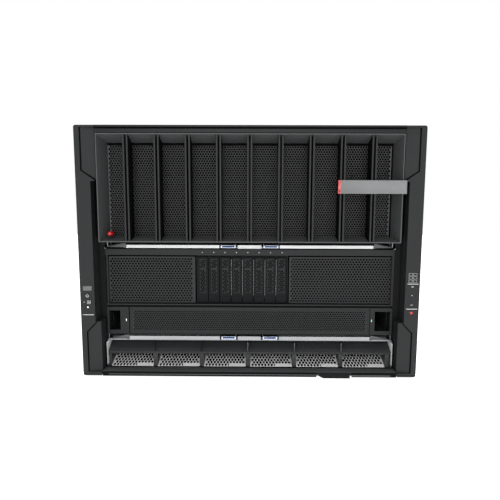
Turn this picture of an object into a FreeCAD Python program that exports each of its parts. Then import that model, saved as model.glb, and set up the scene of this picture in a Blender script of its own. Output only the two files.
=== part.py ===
import FreeCAD
import Part
import os
from math import atan2, cos, radians, sin, tan

# An eight-unit rack server in millimetres: +X to the viewer's right, +Y to the rear, +Z up.
# The origin is mid-width on the chassis underside, in the plane where the rack flanges seat.

# Rack standard and overall size
unit_height = 44.45
unit_count = 8
panel_relief = 0.8
panel_width = 482.6
rack_hole_inset = 8.75
rack_hole_radius = 3.5
ear_reach = 18.3
body_depth = 848.0
front_reach = 34.0

# Sheet thicknesses and running clearances
tub_sheet = 1.5
tray_sheet = 1.2
shelf_sheet = 1.0
flange_sheet = 2.0
slide_gap = 0.3
seat_gap = 0.2
turn_gap = 0.05

# How far a cutter runs past a face, and how far two joined solids run into each other
overcut = 1.0
lap = 1.0

# Heights of the zones, from the bottom up
power_bay_height = 41.9
lever_height = 7.0
lever_lift = 0.8
lever_headroom = 0.9
network_height = 41.5
strip_gap = 0.5
strip_height = 3.1
drive_height = 69.0
crossbar_gap = 1.8
crossbar_height = 8.8
shelf_headroom = 0.4
bezel_gap = 3.4
hood_height = 10.2
hood_gap = 0.6

# Distances behind the front plane
compute_setback = 26.0
vent_setback = 30.0
drive_setback = 32.0
gpu_lever_setback = 20.0
compute_lever_setback = 24.0
lip_depth = 17.0

# Widths
guide_space = 10.7
bezel_overhang = 1.2
post_gap = 0.6

# Ear mouldings
ear_width = 27.6
ear_foot = 1.0
ear_wall = 2.5
grip_width = 20.9
grip_low = 78.0
grip_high = 279.0
grip_front_wall = 4.0
grip_return_depth = 12.0
ear_land = 7.6
facet_depth = 2.0
facet_lean = 7.0
facet_rise = 14.0
facet_margin = 3.0
ear_corner = 3.0

# Ear controls: heights above the chassis underside and distances inside the ear's outer edge
control_inset = 10.8
power_button_height = 116.9
power_button_radius = 3.6
id_button_height = 107.5
id_button_inset = 12.8
id_button_side = 6.6
button_proud = 0.6
lamp_height = 100.1
lamp_radius = 1.5
status_plate_height = 127.5
status_plate_size = (12.6, 6.5)
icon_plate_height = 145.0
icon_plate_size = (14.4, 16.0)
red_lamp_height = 94.1
red_lamp_radius = 2.2
inlay_depth = 1.0
lens_depth = 2.0

# Bezel of the accelerator sled
bezel_depth = 32.0
mesh_setback = 27.0
mesh_sheet = 1.2
bezel_skirt = 2.2
bezel_edge = 1.5
bevel_side = 9.0
bevel_top = 11.5
bevel_bottom = 5.5
fin_count = 9
end_bay = 41.2
fin_width = 7.2
fin_slot_width = 2.6
fin_slot_depth = 20.0
badge_size = (94.0, 18.4)
badge_thickness = 4.0
badge_corner = 1.2
badge_overhang = 3.4
badge_height = 271.7
accent_width = 3.6
knob_radius = 5.2
knob_inset = 14.0
knob_height = 204.8
knob_setback = 6.0
knob_head_depth = 5.0
knob_stem_radius = 2.0
knob_stem_tail = 3.2

# Ejector levers and their latches, measured from the middle of the server
lever_start = 43.0
shoulder_inset = 33.0
pivot_inset = 22.0
lever_tail = 14.0
pivot_depth = 11.0
lever_sheet = 2.0
web_sheet = 1.6
web_gap = 0.7
web_depth = 6.0
stud_radius = 3.0
stud_head_radius = 4.8
stud_head_height = 1.4
catch_half = 17.0
latch_gap = 3.0
latch_width = 21.4
latch_depth = 8.0
latch_inset = 0.3
latch_slide = 2.2
latch_slot_gap = 0.2
latch_groove = 1.0
latch_clear = 1.5
lug_margin = 3.0

# Trays
tray_rear = 560.0
lever_bay = 27.0
gpu_wall_drop = 11.5
gpu_flange_width = 14.0
deck_offset = 0.3
front_post_width = 3.4
runner_width = 4.6
network_length = 430.0

# Drive bay
drive_count = 8
drive_pitch = 16.6
drive_width = 15.2
drive_bay_shift = -10.9
separator_sheet = 0.8
carrier_face = 4.0
carrier_rail = 1.2
drive_body_length = 100.0
drive_body_width = 14.0
cage_length = 124.0
backplane_sheet = 2.0

# One-unit tray face
end_block_width = 33.0
end_block_depth = 20.0
window_width_left = 16.4
window_width_right = 22.6
window_margin = 6.0
window_wall = 1.4
panel_sheet = 2.0

# Power-supply intake
bay_count = 6
bay_side = 2.7
bay_shift = -2.0
divider_width = 6.4
nose_setback = 22.0
nose_height = 27.0
flap_sheet = 1.6
screen_setback = 28.0
screen_low = 4.6
screen_run = 30.0
screen_rise = 11.0
screen_sheet = 1.0
sill_height = 1.4

# Pull-out label card
card_width = 46.0
card_inset = 89.0
card_sheet = 1.2
card_length = 84.0
card_drop = 4.0
handle_depth = 2.0

# Rear: fans and power supplies
fan_headroom = 9.1
fan_gap = 1.0
fan_depth = 38.0
fan_columns = 4
fan_rows = 2
fan_side = 9.5
fan_wall = 2.0
blade_count = 7
blade_gap = 1.2
hub_radius = 19.0
hub_depth = 26.0
strut_width = 4.0
strut_depth = 4.0
shaft_radius = 2.0
supply_side = 11.5
supply_gap = 4.0
supply_height = 39.5
supply_length = 270.0
slot_count = 10
slot_pitch = 20.3
slot_size = (14.0, 92.0)
midplane_y = 576.0
midplane_sheet = 2.4

# Levels and half widths that follow from the values above
panel_height = unit_count * unit_height - panel_relief
front = -front_reach
half_panel = panel_width / 2
half_body = half_panel - ear_reach
tub_inner = half_body - tub_sheet
tray_half = tub_inner - guide_space
bezel_half = tray_half + bezel_overhang
post_inner = bezel_half + post_gap
ear_inner = half_panel - ear_width
ear_rear = -flange_sheet
gpu_half = bezel_half - bezel_skirt - 2 * seat_gap
fin_pitch = 2 * (bezel_half - end_bay) / (fin_count - 1)
lever_shoulder = bezel_half - shoulder_inset
pivot_x = bezel_half - pivot_inset
supply_pitch = 2 * (tub_inner - supply_side) / bay_count
supply_width = supply_pitch - supply_gap
fan_pitch_x = 2 * (tub_inner - fan_side) / fan_columns
card_centre = bezel_half - card_inset

power_shelf_z = tub_sheet + power_bay_height
compute_z = power_shelf_z + shelf_sheet + slide_gap
compute_floor = compute_z + tray_sheet
compute_lever_z = compute_z + lever_lift
network_z = compute_lever_z + lever_height + lever_headroom
network_top = network_z + network_height
strip_z = network_top + strip_gap
deck_top = strip_z + strip_height - deck_offset
drive_z = deck_top + tray_sheet + slide_gap
cage_top = drive_z + drive_height + slide_gap + tray_sheet
crossbar_z = cage_top + crossbar_gap
compute_top = crossbar_z + crossbar_height
mid_shelf_z = compute_top + shelf_headroom
gpu_z = mid_shelf_z + shelf_sheet + slide_gap
gpu_floor = gpu_z + tray_sheet
gpu_lever_z = gpu_z + lever_lift
bezel_z = gpu_lever_z + lever_height + bezel_gap
hood_z = panel_height - hood_height
bezel_top = hood_z - hood_gap
cover_z = panel_height - tray_sheet
fan_pitch_z = (cover_z - gpu_z - fan_headroom) / fan_rows
fan_size = fan_pitch_z - fan_gap


x_axis = FreeCAD.Vector(1, 0, 0)
y_axis = FreeCAD.Vector(0, 1, 0)
z_axis = FreeCAD.Vector(0, 0, 1)


def behind(distance):
    return front + distance


def box(x, y, z):
    size = (x[1] - x[0], y[1] - y[0], z[1] - z[0])
    return Part.makeBox(*size, FreeCAD.Vector(x[0], y[0], z[0]))


def prism(points, travel):
    wire = Part.makePolygon(points + points[:1])
    return Part.Face(wire).extrude(travel)


def along_x(outline, x):
    points = [FreeCAD.Vector(x[0], y, z) for y, z in outline]
    return prism(points, FreeCAD.Vector(x[1] - x[0], 0, 0))


def along_y(outline, y):
    points = [FreeCAD.Vector(x, y[0], z) for x, z in outline]
    return prism(points, FreeCAD.Vector(0, y[1] - y[0], 0))


def along_z(outline, z):
    points = [FreeCAD.Vector(x, y, z[0]) for x, y in outline]
    return prism(points, FreeCAD.Vector(0, 0, z[1] - z[0]))


def rod_y(radius, x, y, z):
    return Part.makeCylinder(radius, y[1] - y[0], FreeCAD.Vector(x, y[0], z), y_axis)


def rod_z(radius, x, y, z):
    return Part.makeCylinder(radius, z[1] - z[0], FreeCAD.Vector(x, y, z[0]))


def rod_x(radius, x, y, z):
    return Part.makeCylinder(radius, x[1] - x[0], FreeCAD.Vector(x[0], y, z), x_axis)


def fused(shapes):
    return shapes[0].multiFuse(shapes[1:]).removeSplitter()


def mirrored(shape):
    return shape.mirror(FreeCAD.Vector(0, 0, 0), x_axis)


def both_sides(shape):
    return [shape, mirrored(shape)]


def rounded(shape, radius, chosen):
    return shape.makeFillet(radius, [edge for edge in shape.Edges if chosen(edge)])


def runs_along(edge, axis):
    start, end = edge.Vertexes[0].Point, edge.Vertexes[-1].Point
    return (end - start).normalize().cross(axis).Length < 1e-3


def at(edge, **place):
    middle = edge.CenterOfMass
    return all(abs(getattr(middle, name) - value) < 1e-3 for name, value in place.items())


def save(name, *shapes):
    solids = [solid for shape in shapes for solid in shape.Solids]
    Part.makeCompound(solids).exportStep(f"parts/{name}.step")


# Chassis shell

cover_lip = 14.0
screw_drop = 8.0
screw_count = 6
screw_margin = 80.0
screw_radius = 1.5
screw_head_radius = 3.0
screw_head_height = 1.1
seam_y = 306.0
seam_width = 0.6
tongue_gap = 1.0
tongue_side_gap = 1.1
flange_reach = 22.0
flange_lift = 1.6
flange_drop = 4.0
tongue_front = behind(lip_depth + tongue_gap)
tongue_half = post_inner - tongue_side_gap
flange_low = power_shelf_z + shelf_sheet + flange_lift
flange_high = bezel_top - flange_drop


def cover_screw_places():
    step = (body_depth - 2 * screw_margin) / (screw_count - 1)
    return [screw_margin + step * i for i in range(screw_count)]


def chassis_tub():
    wall_top = cover_z
    outline = [
        (-half_body, 0), (half_body, 0), (half_body, wall_top), (tub_inner, wall_top),
        (tub_inner, tub_sheet), (-tub_inner, tub_sheet), (-tub_inner, wall_top), (-half_body, wall_top),
    ]
    shell = along_y(outline, (0, body_depth))
    tongue = box((-tongue_half, tongue_half), (tongue_front, tub_sheet), (0, tub_sheet))
    flange_y = midplane_y + midplane_sheet
    flange = box((tub_inner - flange_reach, half_body - tub_sheet / 2),
                 (flange_y, flange_y + tub_sheet), (flange_low, flange_high))
    tub = fused([shell, tongue] + both_sides(flange))
    reach = (-half_body - overcut, half_body + overcut)
    z = panel_height - screw_drop
    holes = [rod_x(screw_radius + seat_gap, reach, y, z) for y in cover_screw_places()]
    return tub.cut(Part.makeCompound(holes))


def top_cover():
    outer = tub_inner - seat_gap
    inner = outer - tray_sheet
    low = panel_height - cover_lip
    outline = [
        (-half_body, cover_z), (-outer, cover_z), (-outer, low), (-inner, low), (-inner, cover_z),
        (inner, cover_z), (inner, low), (outer, low), (outer, cover_z), (half_body, cover_z),
        (half_body, panel_height), (-half_body, panel_height),
    ]
    skin = along_y(outline, (seat_gap, body_depth))
    width = (-half_body, half_body)
    depth = (low - overcut, cover_z)
    lip_front = box(width, (0, post_leg + 2 * seat_gap), depth)
    lip_rear = box(width, (rear_y - seat_gap, body_depth + overcut), depth)
    holes = [rod_x(screw_radius + seat_gap / 2, width, y, panel_height - screw_drop)
             for y in cover_screw_places()]
    seam = box(width, (seam_y, seam_y + seam_width), (low - overcut, panel_height + overcut))
    return skin.cut(Part.makeCompound([lip_front, lip_rear, seam] + holes))


def cover_screw(y):
    z = panel_height - screw_drop
    head = rod_x(screw_head_radius, (half_body, half_body + screw_head_height), y, z)
    shank_end = tub_inner - seat_gap - tray_sheet
    return fused([head, rod_x(screw_radius, (shank_end, half_body + screw_head_height / 2), y, z)])


rail_stud_height = 90.0
rail_stud_places = (80.0, 300.0, 520.0, 740.0)
rail_stud_radius = 3.5
rail_stud_head = 5.0
rail_stud_length = 1.8
rail_stud_neck = 1.08


def rail_stud(y):
    neck = rod_x(rail_stud_radius, (half_body, half_body + rail_stud_length), y, rail_stud_height)
    reach = (half_body + rail_stud_neck, half_body + rail_stud_length)
    head = rod_x(rail_stud_head, reach, y, rail_stud_height)
    return fused([neck, head])


# Front frame: two channel posts, the hood over the bezel and the lip below the intake

post_leg = 30.0
post_outer = tub_inner - seat_gap / 2
hood_side_gap = 0.5
hood_half = ear_inner - hood_side_gap
hood_band = 5.2
hood_edge = 2.6
hood_groove = 4.0
lip_height = 5.2
lip_cheek = 1.5
card_notch_gap = 0.4


def post():
    inner, outer = post_inner, post_outer
    web = ear_rear + flange_sheet
    outline = [
        (inner, ear_rear), (outer, ear_rear), (outer, post_leg), (outer - tub_sheet, post_leg),
        (outer - tub_sheet, web), (inner + tub_sheet, web), (inner + tub_sheet, post_leg), (inner, post_leg),
    ]
    return along_z(outline, (tub_sheet, cover_z))


def hood():
    rear = ear_rear + flange_sheet
    groove = behind(hood_groove)
    back = groove + tub_sheet
    band = hood_z + hood_band
    edge = panel_height - hood_edge
    roof = panel_height - tub_sheet
    floor = hood_z + tub_sheet
    outline = [
        (front, hood_z), (front, band), (groove, band), (groove, edge), (front, edge), (front, panel_height),
        (rear, panel_height), (rear, roof), (back, roof), (back, floor), (rear, floor), (rear, hood_z),
    ]
    return along_x(outline, (-hood_half, hood_half))


def lip():
    rear = behind(lip_depth)
    back = behind(handle_depth + card_notch_gap)
    under = lip_height - tub_sheet
    outline = [(front, 0), (front, lip_height), (rear, lip_height), (rear, under), (back, under), (back, 0)]
    rail = along_x(outline, (-hood_half, hood_half))
    cheek = box((hood_half - lip_cheek, hood_half), (front, ear_rear + flange_sheet), (0, lip_height))
    reach = card_width / 2 + card_notch_gap
    notch = box((card_centre - reach, card_centre + reach), (front - overcut, rear),
                (-overcut, card_top() + card_notch_gap))
    return fused([rail] + both_sides(cheek)).cut(notch)


def front_frame():
    return fused(both_sides(post()) + [hood(), lip()])


# Shelves that the sleds run on: bent plates with guide flanges

guide_front = 8.0
guide_height = 14.0
side_flange = 12.0
shelf_setback = 28.0
shelf_clear = 1.0
shelf_rear_gap = 4.0
intake_wall_gap = 2.0
shelf_front = behind(shelf_setback)
shelf_neck = post_inner - seat_gap
intake_wall_end = 26.0


def shelf(z, guide_inner, rear):
    top = z + shelf_sheet
    edge = tub_inner - seat_gap
    start = post_leg + shelf_clear
    main = box((-edge, edge), (start, rear), (z, top))
    neck = box((-shelf_neck, shelf_neck), (shelf_front, start + lap), (z, top))
    guide = box((guide_inner, guide_inner + shelf_sheet), (guide_front, tray_rear), (z, top + guide_height))
    flange = box((edge - shelf_sheet, edge), (start, rear), (z - side_flange, top))
    return [main, neck] + both_sides(guide) + both_sides(flange)


def tray_shelves():
    middle = fused(shelf(mid_shelf_z, gpu_half + slide_gap, midplane_y - shelf_rear_gap))
    wall_front = behind(nose_setback + intake_wall_gap)
    wall = box((tongue_half - shelf_sheet, tongue_half), (wall_front, intake_wall_end),
               (tub_sheet, power_shelf_z + shelf_sheet))
    power = fused(shelf(power_shelf_z, tray_half + slide_gap, rear_y - shelf_rear_gap) + both_sides(wall))
    return middle, power


# Power intake: air-guide moulding with noses, dividers and sill, and the sloped screens

flap_rise = 15.0
flap_run = 34.0
nose_drop = 3.4
nose_return = 9.0
nose_undercut = 2.0
sill_lead = 1.0
sill_depth = 4.0
divider_lead = 3.0
divider_tail = 2.0
intake_half = tongue_half - shelf_sheet - seat_gap
bay_pitch = 2 * (intake_half - bay_side) / bay_count
sill_z = screen_low - sill_height
screen_rear = behind(screen_setback + screen_run)
bay_width = bay_pitch - divider_width


def bay_middle(index):
    return (index - (bay_count - 1) / 2) * bay_pitch + bay_shift


def intake_flaps():
    nose = behind(nose_setback)
    top = nose_height + flap_rise
    chin = nose_height - nose_drop
    fold = nose + nose_return
    hood_line = [
        (nose, nose_height), (nose + flap_run, top), (nose + flap_run, top - flap_sheet),
        (fold, chin + flap_sheet), (fold, chin), (nose + nose_undercut, chin),
    ]
    flap = along_x(hood_line, (-intake_half, intake_half))
    sill_y = behind(screen_setback - sill_lead)
    sill = box((-intake_half, intake_half), (sill_y, sill_y + sill_depth), (sill_z, screen_low))
    divider_front = nose + divider_lead
    divider_rear = screen_rear + divider_tail
    side = [
        (sill_y, sill_z), (divider_front, chin), (divider_front, nose_height),
        (divider_rear, top - flap_sheet), (divider_rear, sill_z),
    ]
    dividers = []
    for i in range(bay_count + 1):
        middle = bay_middle(i) - bay_pitch / 2
        low = max(middle - divider_width / 2, -intake_half)
        high = min(middle + divider_width / 2, intake_half)
        dividers.append(along_x(side, (low, high)))
    return fused([flap, sill] + dividers)


def intake_screen(index):
    half = bay_width / 2 - seat_gap
    y = behind(screen_setback)
    slope = atan2(screen_rise, screen_run)
    lift = screen_sheet / cos(slope)
    outline = [
        (y, screen_low), (y + screen_run, screen_low + screen_rise),
        (y + screen_run, screen_low + screen_rise + lift), (y, screen_low + lift),
    ]
    return along_x(outline, (bay_middle(index) - half, bay_middle(index) + half))


# Label card: a thin plate above the chassis floor, with a finger tab in front of the lip

def card_top():
    return tub_sheet + slide_gap + card_sheet


def label_card():
    half = card_width / 2
    x = (card_centre - half, card_centre + half)
    plate = box(x, (front, behind(card_length)), (card_top() - card_sheet, card_top()))
    top = card_top()
    slant = x[0] + 2 * card_drop
    outline = [(x[0], top), (x[0], 0), (slant, -card_drop), (x[1], -card_drop), (x[1], top)]
    tab = along_y(outline, (front, behind(handle_depth)))
    return fused([plate, tab])


# Ears: hollow handle mouldings, modelled for +X and mirrored

facet_reach = 20.0
ear_overcut = 10.0


def facet(points, pivot):
    cutter = along_y(points, (front - facet_reach, front + facet_depth))
    cutter.rotate(FreeCAD.Vector(pivot, front + facet_depth, 0), z_axis, -facet_lean)
    return cutter


def ear_blank():
    blank = box((ear_inner, half_panel), (front, ear_rear), (ear_foot, panel_height))
    blank = rounded(blank, ear_corner, lambda e: runs_along(e, y_axis) and at(e, x=half_panel))
    return rounded(blank, ear_corner / 2, lambda e: runs_along(e, z_axis) and at(e, x=half_panel, y=front))


def ear():
    land = half_panel - ear_land
    grip = half_panel - grip_width
    past = ear_inner - ear_overcut
    top = panel_height - facet_margin
    low = ear_foot + facet_margin
    upper = facet([
        (land, top), (land, grip_high + facet_rise), (ear_inner, grip_high), (past, grip_high), (past, top),
    ], land)
    lower = facet([
        (land, low), (land, grip_low - facet_rise), (grip, grip_low), (past, grip_low), (past, low),
    ], land)
    channel = box((past, grip), (front - overcut, ear_rear), (grip_low, grip_high))
    outer_wall = half_panel - ear_wall
    reach = box((past, outer_wall), (front + grip_return_depth, ear_rear), (grip_low, grip_high))
    shell = box((grip + ear_wall, outer_wall), (front + grip_front_wall, ear_rear), (grip_low, grip_high))
    roof = facet_depth + ear_width * tan(radians(facet_lean)) + ear_wall
    cavities = []
    for start, end in ((ear_foot, grip_low), (grip_high, panel_height)):
        cavities.append(box((ear_inner + ear_wall, outer_wall), (front + roof, ear_rear),
                            (start + ear_wall, end - ear_wall)))
    body = ear_blank().cut(Part.makeCompound([upper, lower]))
    for cutter in (channel, reach, shell, Part.makeCompound(cavities)):
        body = body.cut(cutter)
    return body


def control_x(inset):
    return half_panel - inset


def inlay(x, z, size, depth):
    half_w, half_h = size[0] / 2, size[1] / 2
    return box((x - half_w, x + half_w), (front, front + depth), (z - half_h, z + half_h))


def grown(size):
    return (size[0] + seat_gap, size[1] + seat_gap)


def ear_left():
    x = control_x(control_inset)
    through = grip_front_wall + overcut
    id_size = grown((id_button_side, id_button_side))
    wells = [
        rod_y(power_button_radius + turn_gap, x, (front - overcut, front + through), power_button_height),
        inlay(control_x(id_button_inset), id_button_height, id_size, through),
        rod_y(lamp_radius + seat_gap / 2, x, (front, front + lens_depth), lamp_height),
        inlay(x, status_plate_height, grown(status_plate_size), inlay_depth),
    ]
    return mirrored(ear().cut(Part.makeCompound(wells)))


def ear_right():
    x = control_x(control_inset)
    wells = [
        rod_y(red_lamp_radius + seat_gap / 2, x, (front, front + lens_depth), red_lamp_height),
        inlay(x, icon_plate_height, grown(icon_plate_size), inlay_depth),
    ]
    return ear().cut(Part.makeCompound(wells))


def ear_indicators():
    x = control_x(control_inset)
    lamp = rod_y(lamp_radius, x, (front, front + lens_depth), lamp_height)
    status = inlay(x, status_plate_height, status_plate_size, inlay_depth)
    red_lamp = rod_y(red_lamp_radius, x, (front, front + lens_depth), red_lamp_height)
    icons = inlay(x, icon_plate_height, icon_plate_size, inlay_depth)
    return mirrored(lamp), mirrored(status), red_lamp, icons


button_tail = 3.0
button_length = grip_front_wall + button_tail
button_collar = 1.0
collar_gap = 0.2


def power_button():
    x = -control_x(control_inset)
    y = (front - button_proud, front - button_proud + button_length)
    cap = rod_y(power_button_radius, x, y, power_button_height)
    cap = rounded(cap, button_proud / 2, lambda e: at(e, y=y[0]))
    stop = front + grip_front_wall + collar_gap
    collar = rod_y(power_button_radius + button_collar, x, (stop, stop + button_collar), power_button_height)
    return fused([cap, collar])


def id_button():
    x = -control_x(id_button_inset)
    half = id_button_side / 2
    y = (front - button_proud, front - button_proud + button_length)
    z = id_button_height
    cap = box((x - half, x + half), y, (z - half, z + half))
    cap = rounded(cap, button_proud / 2, lambda e: at(e, y=y[0]))
    stop = front + grip_front_wall + collar_gap
    wide = half + button_collar
    collar = box((x - wide, x + half), (stop, stop + button_collar), (z - half, z + half))
    return fused([cap, collar])


# Rack brackets: steel angles behind the ears

bracket_leg = 60.0
bracket_sheet = 1.6
bracket_margin = 2.0
bracket_inset = 0.5
half_unit = unit_height / 2
rack_hole_x = half_panel - rack_hole_inset
rack_hole_rows = tuple(z - panel_relief / 2 for z in (half_unit, unit_count * unit_height - half_unit))


def rack_bracket():
    inner = post_outer + seat_gap
    outer = half_panel - bracket_inset
    leg = half_body + bracket_sheet
    seat = ear_rear + flange_sheet
    outline = [
        (inner, ear_rear), (outer, ear_rear), (outer, seat), (leg, seat), (leg, bracket_leg),
        (half_body, bracket_leg), (half_body, seat), (inner, seat),
    ]
    angle = along_z(outline, (bracket_margin, panel_height - bracket_margin))
    through = (ear_rear - overcut, seat + overcut)
    holes = [rod_y(rack_hole_radius, rack_hole_x, through, z) for z in rack_hole_rows]
    return angle.cut(Part.makeCompound(holes))


# Ejector levers, modelled for +X: a front flange that tapers to the tail, on a flat web with the pivot hole

taper_run = 5.0
shoulder_run = 3.0
lug_half = 6.0
lug_run = 8.0
lug_gap = 1.0
edge_round = 0.6
groove_margin = 2.5
groove_lift = 1.0


def web_low(floor_top):
    return floor_top + web_gap


def lever(lever_z, floor_top, setback):
    face = behind(setback)
    low, high = lever_z, lever_z + lever_height
    web = (web_low(floor_top), web_low(floor_top) + web_sheet)
    tail = pivot_x + lever_tail
    flange = along_y([
        (lever_start, low), (lever_shoulder, low), (lever_shoulder + taper_run, web[0]), (tail, web[0]),
        (tail, web[1]), (lever_shoulder + shoulder_run, high), (lever_start, high),
    ], (face, face + lever_sheet))
    pivot_y = face + pivot_depth
    start = catch_half + latch_gap + latch_slide + lap
    lug_y = pivot_y + lug_half
    outline = [
        (start, face + lap), (tail, face + lap), (tail, pivot_y), (pivot_x + lug_half, lug_y),
        (pivot_x - lug_half, lug_y), (lever_shoulder - lug_run, face + web_depth), (start, face + web_depth),
    ]
    web_plate = along_z(outline, web)
    hole = rod_z(stud_radius + turn_gap, pivot_x, pivot_y, (low - overcut, high + overcut))
    return fused([flange, web_plate]).cut(hole)


def pivot_stud(floor_top, setback):
    y = behind(setback) + pivot_depth
    head_low = web_low(floor_top) + web_sheet + slide_gap
    stem = rod_z(stud_radius, pivot_x, y, (floor_top - tray_sheet / 2, head_low + stud_head_height))
    head = rod_z(stud_head_radius, pivot_x, y, (head_low, head_low + stud_head_height))
    return fused([stem, head])


def latch(lever_z, floor_top, setback):
    face = behind(setback)
    x = (catch_half + latch_gap, catch_half + latch_gap + latch_width)
    z = (lever_z + latch_inset, lever_z + lever_height - latch_inset)
    body = box(x, (face, face + latch_depth), z)
    body = rounded(body, edge_round, lambda e: at(e, y=face))
    web = (web_low(floor_top), web_low(floor_top) + web_sheet)
    slot = box((x[0] - overcut, x[1] + overcut),
               (face + lap - latch_slot_gap, face + web_depth + latch_slot_gap),
               (web[0] - latch_slot_gap, web[1] + latch_slot_gap))
    middle = (z[0] + z[1]) / 2 + groove_lift
    groove = box((x[0] + groove_margin, x[1] - groove_margin), (face - overcut, face + latch_groove / 2),
                 (middle, middle + latch_groove))
    return body.cut(slot).cut(groove)


def catch_bar(tray_z, lever_z, setback):
    face = behind(setback)
    bar = box((-catch_half, catch_half), (face, face + lever_sheet), (lever_z, lever_z + lever_height))
    bar = rounded(bar, edge_round, lambda e: runs_along(e, z_axis) and at(e, y=face))
    tongue_end = face + latch_depth + latch_clear + lap
    tongue = box((-catch_half, catch_half), (face + lever_sheet / 2, tongue_end),
                 (tray_z, tray_z + tray_sheet))
    foot = box((-catch_half, catch_half), (face + lever_sheet / 2, face + lever_sheet),
               (tray_z, lever_z + lever_height / 2))
    return [bar, tongue, foot]


# Accelerator sled

standoff_radius = 4.0
board_lift = 11.0
board_sheet = 2.4
board_margin = 9.0
board_front = 40.0
board_length = 470.0
module_columns = 4
module_rows = 2
module_margin = 3.2
module_gap = 12.0
module_row_pitch = 225.0
module_length = 180.0
module_base = 14.0
module_fins = 13
module_fin_height = 78.0
module_fin_share = 0.42
cross_wall_lift = 12.0
gpu_post_shares = (-0.8, 0.0, 0.8)
gpu_board_half = gpu_half - tray_sheet - board_margin
module_pitch = 2 * (gpu_board_half - module_margin) / module_columns
module_width = module_pitch - module_gap


def tray_floor(half, z, setback):
    levels = (z, z + tray_sheet)
    start = behind(setback + latch_depth + latch_clear)
    floor = box((-half, half), (start, tray_rear), levels)
    lug_front = behind(setback + lever_sheet + lug_gap)
    lug = box((lever_shoulder - lug_margin, half), (lug_front, start + lap), levels)
    return [floor] + both_sides(lug)


def gpu_tray():
    floor = tray_floor(gpu_half, gpu_z, gpu_lever_setback)
    flange_y = behind(mesh_setback + mesh_sheet)
    top = bezel_top - gpu_wall_drop
    skirt_y = behind(bezel_depth) + slide_gap
    skirt_z = bezel_z + bezel_skirt + slide_gap
    wall = along_x([
        (skirt_y, gpu_z), (tray_rear, gpu_z), (tray_rear, top), (flange_y, top), (flange_y, skirt_z),
        (skirt_y, skirt_z),
    ], (gpu_half - tray_sheet, gpu_half))
    flange = box((gpu_half - gpu_flange_width, gpu_half), (flange_y, flange_y + tray_sheet),
                 (bezel_z + bevel_bottom, top))
    through = (flange_y - overcut, flange_y + tray_sheet + overcut)
    hole = rod_y(knob_stem_radius + turn_gap, -knob_x(), through, knob_height)
    cross_y = behind(gpu_lever_setback + lever_bay)
    cross = box((-gpu_half, gpu_half), (cross_y, cross_y + tray_sheet), (gpu_z, gpu_floor + cross_wall_lift))
    studs = both_sides(pivot_stud(gpu_floor, gpu_lever_setback))
    posts = []
    post_z = (gpu_floor - tray_sheet / 2, gpu_floor + board_lift)
    for share in gpu_post_shares:
        for y in (board_front + board_margin, board_front + board_length - board_margin):
            posts.append(rod_z(standoff_radius, share * gpu_half, y, post_z))
    catch = catch_bar(gpu_z, gpu_lever_z, gpu_lever_setback)
    whole = fused(floor + both_sides(wall) + both_sides(flange) + [cross] + studs + posts + catch)
    return whole.cut(hole)


def gpu_board_z():
    return gpu_floor + board_lift


def gpu_baseboard():
    half = gpu_board_half
    z = gpu_board_z()
    return box((-half, half), (board_front, board_front + board_length), (z, z + board_sheet))


def comb(width, base, fins, height, share):
    pitch = width / fins
    fin = pitch * share
    left = -width / 2
    points = [(left, 0), (left + width, 0)]
    for i in reversed(range(fins)):
        start = left + i * (width - fin) / (fins - 1)
        points += [(start + fin, base), (start + fin, height), (start, height), (start, base)]
    return [p for p in points if p != (left + width, base) and p != (left, base)]


def finned_block(x, y, z, width, base, fins, height, share):
    outline = [(x + px, z + pz) for px, pz in comb(width, base, fins, height, share)]
    return along_y(outline, y)


def gpu_modules():
    z = gpu_board_z() + board_sheet
    middle = board_front + board_length / 2
    blocks = []
    for row in range(module_rows):
        y = middle + (row - (module_rows - 1) / 2) * module_row_pitch
        reach = (y - module_length / 2, y + module_length / 2)
        for column in range(module_columns):
            x = (column - (module_columns - 1) / 2) * module_pitch
            blocks.append(finned_block(x, reach, z, module_width, module_base, module_fins,
                                       module_base + module_fin_height, module_fin_share))
    return blocks


def knob_x():
    return bezel_half - knob_inset


def bezel_rectangle(side, low, high, y):
    corners = [(-side, low), (side, low), (side, high), (-side, high)]
    points = [FreeCAD.Vector(x, y, z) for x, z in corners]
    return Part.makePolygon(points + points[:1])


def bevel_pocket():
    mouth = bezel_rectangle(bezel_half - bezel_edge, bezel_z + bezel_edge, bezel_top - bezel_edge, front)
    throat = bezel_rectangle(bezel_half - bevel_side, bezel_z + bevel_bottom, bezel_top - bevel_top,
                             behind(mesh_setback))
    return Part.makeLoft([mouth, throat], True, True)


def bezel_frame():
    block = box((-bezel_half, bezel_half), (front, behind(bezel_depth)), (bezel_z, bezel_top))
    block = rounded(block, bezel_edge / 2, lambda e: at(e, y=front))
    seat_half = bezel_half - bezel_skirt
    seat = box((-seat_half, seat_half), (behind(mesh_setback), behind(bezel_depth + overcut)),
               (bezel_z + bezel_skirt, bezel_top - bezel_skirt))
    return block.cut(bevel_pocket()).cut(seat)


def bezel_fin(index):
    x = (index - (fin_count - 1) / 2) * fin_pitch
    blade = box((x - fin_width / 2, x + fin_width / 2), (front, behind(mesh_setback)), (bezel_z, bezel_top))
    blade = blade.common(bevel_pocket())
    slot = box((x - fin_slot_width / 2, x + fin_slot_width / 2), (front - overcut, front + fin_slot_depth),
               (bezel_z - overcut, bezel_top + overcut))
    return blade.cut(slot)


def bezel_mesh():
    y = behind(mesh_setback)
    half = bezel_half - bezel_skirt - seat_gap
    plate = box((-half, half), (y, y + mesh_sheet),
                (bezel_z + bezel_skirt + seat_gap, bezel_top - bezel_skirt - seat_gap))
    through = (y - overcut, y + mesh_sheet + overcut)
    return plate.cut(rod_y(knob_stem_radius + slide_gap, -knob_x(), through, knob_height))


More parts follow.
